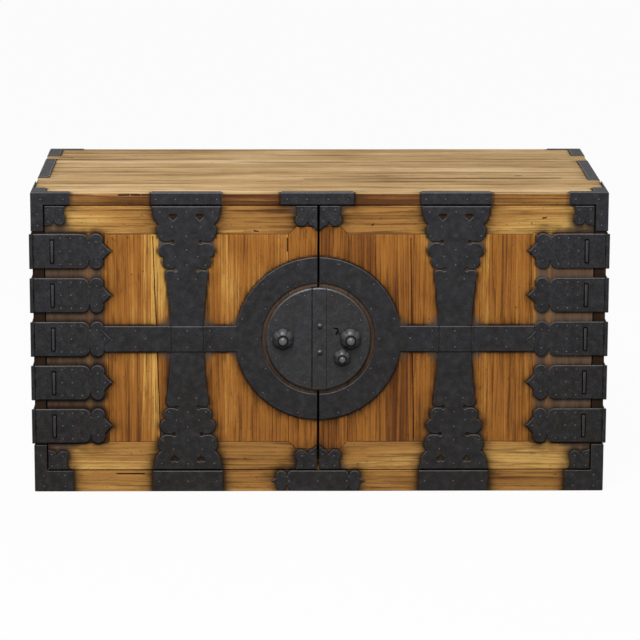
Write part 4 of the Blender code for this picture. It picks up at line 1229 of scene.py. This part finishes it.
class TANSU_OT_trim(bpy.types.Operator):
    """Thin corner plates on the doors and along the top's edges"""

    bl_idname = "tansu.trim"
    bl_label = "Trim plates"

    def execute(self, context):
        for side in SIDE_WORDS:
            self.door_corners(side)
            self.top_edges(side)
        return {"FINISHED"}

    def lay(self, name, points, outward, body):
        """Lay one plate on the wood, and mark it as iron that darkens the wood beside it."""
        mesh = sheet(name, points, outward, iron().trim_plate)
        piece = add_piece(name, mesh, oil_blackened_iron(), body, "plate_iron")
        piece["tansu_trim"] = True

    def door_corners(self, side):
        """Four lobed plates on a door's corners."""
        outer, inner = DOOR_EDGES[side]
        for level, edge, upward in (("top", DOOR_HIGH, -1), ("bottom", DOOR_LOW, 1)):
            for kind, start, inward, size in (
                ("outer", outer, -side, OUTER_CORNER),
                ("inner", inner, side, INNER_CORNER),
            ):
                points = []
                for across, along in lobed_corner(*size):
                    x = start + inward * (across + DOOR_MARGIN)
                    points.append((x, FRONT - SEAT, edge + upward * (along + DOOR_MARGIN)))
                name = f"{SIDE_WORDS[side]}_{level}_{kind}_door_corner_iron"
                self.lay(name, points, -ALONG_Y, BODY_OF_SIDE[side])

    def top_edges(self, side):
        """A strip on a side edge of the top, a corner plate behind it, and their folds down the side."""
        name = f"top_{SIDE_WORDS[side]}"
        edge = side * CASE_HIGH.x
        back = CASE_HIGH.y
        offset, length = SIDE_STRIP[side]
        start = FRONT + offset
        strip = [
            (edge - side * across, start + along, TOP + SEAT)
            for across, along in scalloped_strip(SIDE_STRIP_WIDTH, length, SIDE_STRIP_ROUNDS)
        ]
        self.lay(name + "_side_iron", strip, ALONG_Z, "case")
        reaches = (
            (0.0, 0.0), (BACK_REACH, 0.0), (BACK_REACH, BACK_ARM_TIP), (BACK_SIDE_ARM, BACK_ARM_ROOT),
            (BACK_SIDE_ARM, BACK_DEPTH), (0.0, BACK_DEPTH),
        )
        corner = [(edge - side * across, back - forward, TOP + SEAT) for across, forward in reaches]
        self.lay(name + "_back_iron", corner, ALONG_Z, "case")
        foot = TOP - SIDE_STRIP_WIDTH
        for kind, near, far in (("side", start, start + length), ("back", back - BACK_DEPTH, back)):
            corners = ((near, TOP), (far, TOP), (far, foot), (near, foot))
            fold = [(edge + side * SEAT, y, z) for y, z in corners]
            self.lay(f"{name}_{kind}_iron_fold", fold, side * ALONG_X, "case")


# Nails


def nail_tree():
    """A node tree that sets a forged nail head on every point, turned to the point's facing."""
    tree = bpy.data.node_groups.new("forged_nail_heads", "GeometryNodeTree")
    for name, kind in (
        ("Geometry", "Geometry"), ("Head Radius", "Float"), ("Head Rise", "Float"), ("Seed", "Int"),
        ("Material", "Material"),
    ):
        tree.interface.new_socket(name, in_out="INPUT", socket_type="NodeSocket" + kind)
    tree.interface.new_socket("Geometry", in_out="OUTPUT", socket_type="NodeSocketGeometry")
    given = add(tree, "NodeGroupInput").outputs
    ball = add(tree, "GeometryNodeMeshUVSphere", {"Segments": 8, "Rings": 4, "Radius": 1.0}).outputs["Mesh"]
    size = {"X": given["Head Radius"], "Y": given["Head Radius"], "Z": given["Head Rise"]}
    size = add(tree, "ShaderNodeCombineXYZ", size).outputs["Vector"]
    head = add(tree, "GeometryNodeTransform", {"Geometry": ball, "Scale": size}).outputs["Geometry"]
    facing = add(tree, "GeometryNodeInputNamedAttribute", {"Name": "facing"}, data_type="FLOAT_VECTOR")
    turn = add(tree, "FunctionNodeAlignRotationToVector", {"Vector": facing.outputs["Attribute"]}, axis="Z")
    sizes = {RANDOM_LEAST: 0.82, RANDOM_MOST: 1.15, "Seed": given["Seed"]}
    uneven = add(tree, "FunctionNodeRandomValue", sizes, data_type="FLOAT")
    heads = add(tree, "GeometryNodeInstanceOnPoints", {
        "Points": given["Geometry"], "Instance": head,
        "Rotation": turn.outputs["Rotation"], "Scale": uneven.outputs[RANDOM_RESULT],
    }).outputs["Instances"]
    real = add(tree, "GeometryNodeRealizeInstances", {"Geometry": heads}).outputs["Geometry"]
    smooth = add(tree, "GeometryNodeSetShadeSmooth", {"Geometry": real}).outputs["Geometry"]
    dressed = add(tree, "GeometryNodeSetMaterial", {"Geometry": smooth, "Material": given["Material"]})
    add(tree, "NodeGroupOutput", {"Geometry": dressed.outputs["Geometry"]})
    return tree


def nails_on(name, places, body, seed, rise):
    """Nail heads of some height at places, each a point and the way it faces, as one plain mesh on a body."""
    look = iron()
    tree = bpy.data.node_groups.get("forged_nail_heads") or nail_tree()
    points = bpy.data.meshes.new(name + "_points")
    points.from_pydata([place for place, facing in places], [], [])
    facing = points.attributes.new("facing", "FLOAT_VECTOR", "POINT")
    facing.data.foreach_set("vector", [part for place, way in places for part in way])
    carrier = bpy.data.objects.new(name + "_points", points)
    bpy.context.scene.collection.objects.link(carrier)
    modifier = carrier.modifiers.new("nails", "NODES")
    modifier.node_group = tree
    values = {"Head Radius": look.nail_head, "Head Rise": rise, "Seed": seed, "Material": rubbed_lock_iron()}
    for item in tree.interface.items_tree:
        if item.in_out == "INPUT" and item.name in values:
            modifier[item.identifier] = values[item.name]
    bpy.context.view_layer.update()
    evaluated = carrier.evaluated_get(bpy.context.evaluated_depsgraph_get())
    mesh = bpy.data.meshes.new_from_object(evaluated)
    bpy.data.objects.remove(carrier)
    keep_values(mesh, "rub_and_painted_light", [NAIL_WEAR] * len(mesh.polygons), "FACE")
    return add_piece(name, mesh, rubbed_lock_iron(), body, "plate_iron")


def seated(tree, start, direction):
    """Where a nail driven from outside meets the iron, and the way it faces."""
    point = tree.ray_cast(Vector(start), direction)[0]
    if point is None:
        raise ValueError(f"a nail at {start} misses the iron")
    return point, -direction


def strap_nails(side):
    """Nails of the five hinge straps of a door, as X and Z."""
    pattern = [(along, up) for along in (44.5, 60.5, 76.0) for up in (21.0, -21.0)]
    pattern += [(44.5, 0.0), (60.5, 0.0), (101.0, 15.0), (101.0, -15.0), (113.0, 0.0)]
    found = []
    for number in HINGES:
        middle = centre_of(f"{SIDE_WORDS[side]}_hinge_strap_{number}").z
        found += [(side * (CASE_HIGH.x - along * MM), middle + up * MM) for along, up in pattern]
    return found


def waist_nails(side):
    """Nails of a waist strap, as X and Z: the same pattern from both ends, mirrored about its middle."""
    pattern = (
        (0, 9), (42, 9.5), (23, 33), (40, 48), (0, 48), (0, 70), (18, 81), (29.5, 94.5), (0, 94.5), (14, 117),
    )
    node = f"{SIDE_WORDS[side]}_waist_strap"
    low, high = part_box(node)
    found = []
    for end, inward in ((high.z, -1), (low.z, 1)):
        for across, drop in pattern:
            for way in (1, -1) if across else (1,):
                found.append((centre_of(node).x + way * across * MM, end + inward * drop * MM))
    return found


def round_the_lock(side, radius, angle):
    """X and Z at some millimetres and degrees from the lock's middle, on one side of the seam."""
    turn = math.radians(angle)
    return SEAM_X + side * radius * MM * math.cos(turn), LOCK_Z + radius * MM * math.sin(turn)


def ring_nails(side):
    """Nails in two rows round the ring, and along the cross band, as X and Z."""
    outer_row, inner_row = 125, 97
    found = [round_the_lock(side, outer_row, angle) for angle in range(-75, 76, 30)]
    found += [round_the_lock(side, inner_row, angle) for angle in range(-60, 61, 30)]
    centre = centre_of(f"{SIDE_WORDS[side]}_waist_strap").x
    for out, up in ((82, 13), (82, -13), (66, 0), (0, 13), (0, -13), (-36, 13), (-36, -13), (-71, 1)):
        found.append((centre + side * out * MM, LOCK_Z + up * MM))
    return found


def lock_nails(side):
    """Nails round the rim of the lock plate, as X and Z."""
    row = 74
    return [round_the_lock(side, row, angle) for angle in (-73, -49, -24.5, 0, 24.5, 49, 73)]


def door_corner_nails(side):
    """Nails of the four corner plates of a door, as X and Z."""
    found = []
    for start, inward in zip(DOOR_EDGES[side], (-side, side)):
        for edge, upward in ((DOOR_HIGH, -1), (DOOR_LOW, 1)):
            for across, along in ((6, 6), (25, 6), (6, 25), (24, 22)):
                found.append((start + inward * across * MM, edge + upward * along * MM))
    return found


def case_front_nails():
    """Nails of the plates on the front edges of the case, as X and Z."""
    head = ((14, 9), (50, 9), (9, 33), (9, 51))
    foot = ((13, 9), (47, 9), (13, 27), (47, 27), (9, 60))
    found = []
    for side in SIDE_WORDS:
        for pattern, edge, upward in ((head, TOP, -1), (foot, 0.0, 1)):
            for across, along in pattern:
                found.append((side * (CASE_HIGH.x - across * MM), edge + upward * along * MM))
    for node in ("top_left_edge_iron", "top_centre_edge_iron", "top_right_edge_iron"):
        found += [(centre_of(node).x + across * MM, TOP - NAIL_DROP) for across in (-48, -17, 17, 48)]
    for node in ("bottom_left_edge_iron", "bottom_right_edge_iron", "bottom_centre_iron"):
        found += [(centre_of(node).x + across * MM, FOOT_NAILS) for across in (-46, 0, 46)]
    return found


def case_side_nails():
    """Nails of the hinge leaves and folded corners on a side, as depth from the front and Z."""
    found = []
    for number in HINGES:
        low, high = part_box(f"left_hinge_leaf_{number}")
        heights = (low.z + NAIL_DROP, high.z - NAIL_DROP)
        found += [(depth * MM, z) for depth in (14, 28) for z in heights]
    for depth in (30, 62, 98):
        found += [(depth * MM, TOP - NAIL_DROP), (depth * MM, FOOT_NAILS)]
    return found


def case_top_nails():
    """Nails of the thin plates on the top, as X and depth from the front."""
    pattern = ((8, 170), (8, 240), (8, 305), (9, 395), (9, 440), (45, 451))
    found = []
    for side in SIDE_WORDS:
        found += [(side * (CASE_HIGH.x - across * MM), depth * MM) for across, depth in pattern]
    return found


def back_nails():
    """Small nails round the edge of the back board, as X and Z."""
    low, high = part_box("back_board")
    left, right = low.x + BACK_NAIL_INSET, high.x - BACK_NAIL_INSET
    bottom, top = low.z + BACK_NAIL_INSET, high.z - BACK_NAIL_INSET
    spaces_across, spaces_up = 8, 5
    found = []
    for step in range(spaces_across + 1):
        x = left + (right - left) * step / spaces_across
        found += [(x, bottom), (x, top)]
    for step in range(1, spaces_up):
        z = bottom + (top - bottom) * step / spaces_up
        found += [(left, z), (right, z)]
    return found


class TANSU_OT_nails(bpy.types.Operator):
    """Forged nail heads on the ironwork and the back"""

    bl_idname = "tansu.nails"
    bl_label = "Nails"

    def execute(self, context):
        tree = tree_of(iron_meshes())
        rise = iron().nail_rise
        for side, body in BODY_OF_SIDE.items():
            front = strap_nails(side) + waist_nails(side) + ring_nails(side) + lock_nails(side)
            front += door_corner_nails(side)
            places = [seated(tree, (x, -OUTSIDE, z), ALONG_Y) for x, z in front]
            nails_on(f"{SIDE_WORDS[side]}_door_nails", places, body, DOOR_NAIL_SEED + side, rise)
        places = [seated(tree, (x, -OUTSIDE, z), ALONG_Y) for x, z in case_front_nails()]
        for side in SIDE_WORDS:
            for depth, z in case_side_nails():
                places.append(seated(tree, (side * OUTSIDE, FRONT + depth, z), -side * ALONG_X))
        # The nails in the top are hammered down, so that nothing stands out of it.
        for x, depth in case_top_nails():
            point, facing = seated(tree, (x, FRONT + depth, OUTSIDE), -ALONG_Z)
            places.append((point - TOP_NAIL_SINK * rise * ALONG_Z, facing))
        nails_on("case_nails", places, "case", CASE_NAIL_SEED, rise)
        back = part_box("back_board")[1].y - BACK_NAIL_SINK * BACK_NAIL_RISE
        places = [((x, back, z), ALONG_Y) for x, z in back_nails()]
        nails_on("back_nails", places, "case", BACK_NAIL_SEED, BACK_NAIL_RISE)
        return {"FINISHED"}


# Stage


class TANSU_OT_stage(bpy.types.Operator):
    """Pale floor, soft light and the camera"""

    bl_idname = "tansu.stage"
    bl_label = "Stage"

    def execute(self, context):
        look = context.scene.tansu_stage
        self.lay_floor(look)
        self.light(look)
        self.set_camera(look)
        context.scene.view_settings.view_transform = "Standard"
        return {"FINISHED"}

    def lay_floor(self, look):
        """A wide floor in matt white paint: the camera sees it as white, and it throws little light back."""
        shape = bmesh.new()
        bmesh.ops.create_grid(shape, x_segments=1, y_segments=1, size=FLOOR_HALF)
        mesh = bpy.data.meshes.new("floor")
        shape.to_mesh(mesh)
        shape.free()
        floor = bpy.data.objects.new("floor", mesh)
        floor.location.z = -FLOOR_DROP
        bpy.context.scene.collection.objects.link(floor)
        material, tree, shader = new_material("pale_painted_floor")
        shader.inputs["Base Color"].default_value = rgba(look.floor)
        shader.inputs["Roughness"].default_value = FLOOR_ROUGHNESS
        seen = self.seen_rays(tree)
        share = add(tree, "ShaderNodeMath", {0: seen, 1: FLOOR_GLOW}, operation="MULTIPLY").outputs[0]
        glow = add(tree, "ShaderNodeEmission", {"Color": WHITE, "Strength": 1.0}).outputs["Emission"]
        sockets = {0: share, 1: shader.outputs["BSDF"], 2: glow}
        mixed = add(tree, "ShaderNodeMixShader", sockets).outputs["Shader"]
        tree.links.new(mixed, tree.nodes["Material Output"].inputs["Surface"])
        mesh.materials.append(material)

    def seen_rays(self, tree):
        """One for rays from the camera, a mirror or glass, and nought for light that falls on things."""
        path = add(tree, "ShaderNodeLightPath").outputs
        seen = path["Is Camera Ray"]
        for kind in ("Is Glossy Ray", "Is Transmission Ray"):
            seen = add(tree, "ShaderNodeMath", {0: seen, 1: path[kind]}, operation="MAXIMUM").outputs[0]
        return seen

    def light(self, look):
        """Even light from all round, a white backdrop, and one large soft lamp in front."""
        world = bpy.data.worlds.new("even_studio_light")
        bpy.context.scene.world = world
        world.use_nodes = True
        backdrop = world.node_tree.nodes["Background"].inputs
        backdrop["Color"].default_value = WHITE
        level = {"Value": self.seen_rays(world.node_tree), "To Min": look.sky, "To Max": BACKDROP_GLOW}
        level = add(world.node_tree, "ShaderNodeMapRange", level).outputs["Result"]
        world.node_tree.links.new(level, backdrop["Strength"])
        lamp = bpy.data.lights.new("key", "AREA")
        lamp.shape = "DISK"
        lamp.size = LAMP_WIDTH
        lamp.energy = look.key
        holder = bpy.data.objects.new("key", lamp)
        holder.location = look.key_place
        aim = LAMP_AIM * ALONG_Z - holder.location
        holder.rotation_euler = aim.to_track_quat("-Z", "Y").to_euler()
        bpy.context.scene.collection.objects.link(holder)

    def set_camera(self, look):
        """The camera, from where it stands and its yaw, downward pitch and roll."""
        yaw, pitch, roll = look.camera_turn
        camera = bpy.data.cameras.new("camera")
        camera.lens = look.lens
        camera.sensor_width = SENSOR_WIDTH
        forward = Vector((math.sin(yaw) * math.cos(pitch), math.cos(yaw) * math.cos(pitch), -math.sin(pitch)))
        right = Vector((math.cos(yaw), -math.sin(yaw), 0.0))
        up = right.cross(forward)
        rolled_right = math.cos(roll) * right + math.sin(roll) * up
        rolled_up = math.cos(roll) * up - math.sin(roll) * right
        turn = Matrix((rolled_right, rolled_up, -forward)).transposed().to_4x4()
        holder = bpy.data.objects.new("camera", camera)
        holder.matrix_world = Matrix.Translation(look.camera_place) @ turn
        bpy.context.scene.collection.objects.link(holder)
        bpy.context.scene.camera = holder


class TANSU_PT_panel(bpy.types.Panel):
    """Lists the steps that finish the chest"""

    bl_idname = "TANSU_PT_panel"
    bl_label = "Choba tansu"
    bl_space_type = "VIEW_3D"
    bl_region_type = "UI"
    bl_category = "Tansu"

    def draw(self, context):
        for group in (context.scene.tansu_wood, context.scene.tansu_iron, context.scene.tansu_stage):
            for name in group.__annotations__:
                self.layout.prop(group, name)
        for step in STEPS:
            self.layout.operator(step.bl_idname)


SETTINGS = (TansuWood, TansuIron, TansuStage)
STEPS = (
    TANSU_OT_trim, TANSU_OT_ironwork, TANSU_OT_knobs, TANSU_OT_door_boards, TANSU_OT_case_boards,
    TANSU_OT_nails, TANSU_OT_stage,
)


def register():
    for item in (*SETTINGS, *STEPS, TANSU_PT_panel):
        bpy.utils.register_class(item)
    bpy.types.Scene.tansu_wood = bpy.props.PointerProperty(type=TansuWood)
    bpy.types.Scene.tansu_iron = bpy.props.PointerProperty(type=TansuIron)
    bpy.types.Scene.tansu_stage = bpy.props.PointerProperty(type=TansuStage)


def unregister():
    del bpy.types.Scene.tansu_stage
    del bpy.types.Scene.tansu_iron
    del bpy.types.Scene.tansu_wood
    for item in reversed((*SETTINGS, *STEPS, TANSU_PT_panel)):
        bpy.utils.unregister_class(item)


def main():
    """Finish the whole chest."""
    register()
    bpy.ops.tansu.trim()
    bpy.ops.tansu.ironwork()
    bpy.ops.tansu.knobs()
    bpy.ops.tansu.door_boards()
    bpy.ops.tansu.case_boards()
    bpy.ops.tansu.nails()
    bpy.ops.tansu.stage()


if __name__ == "__main__":
    main()
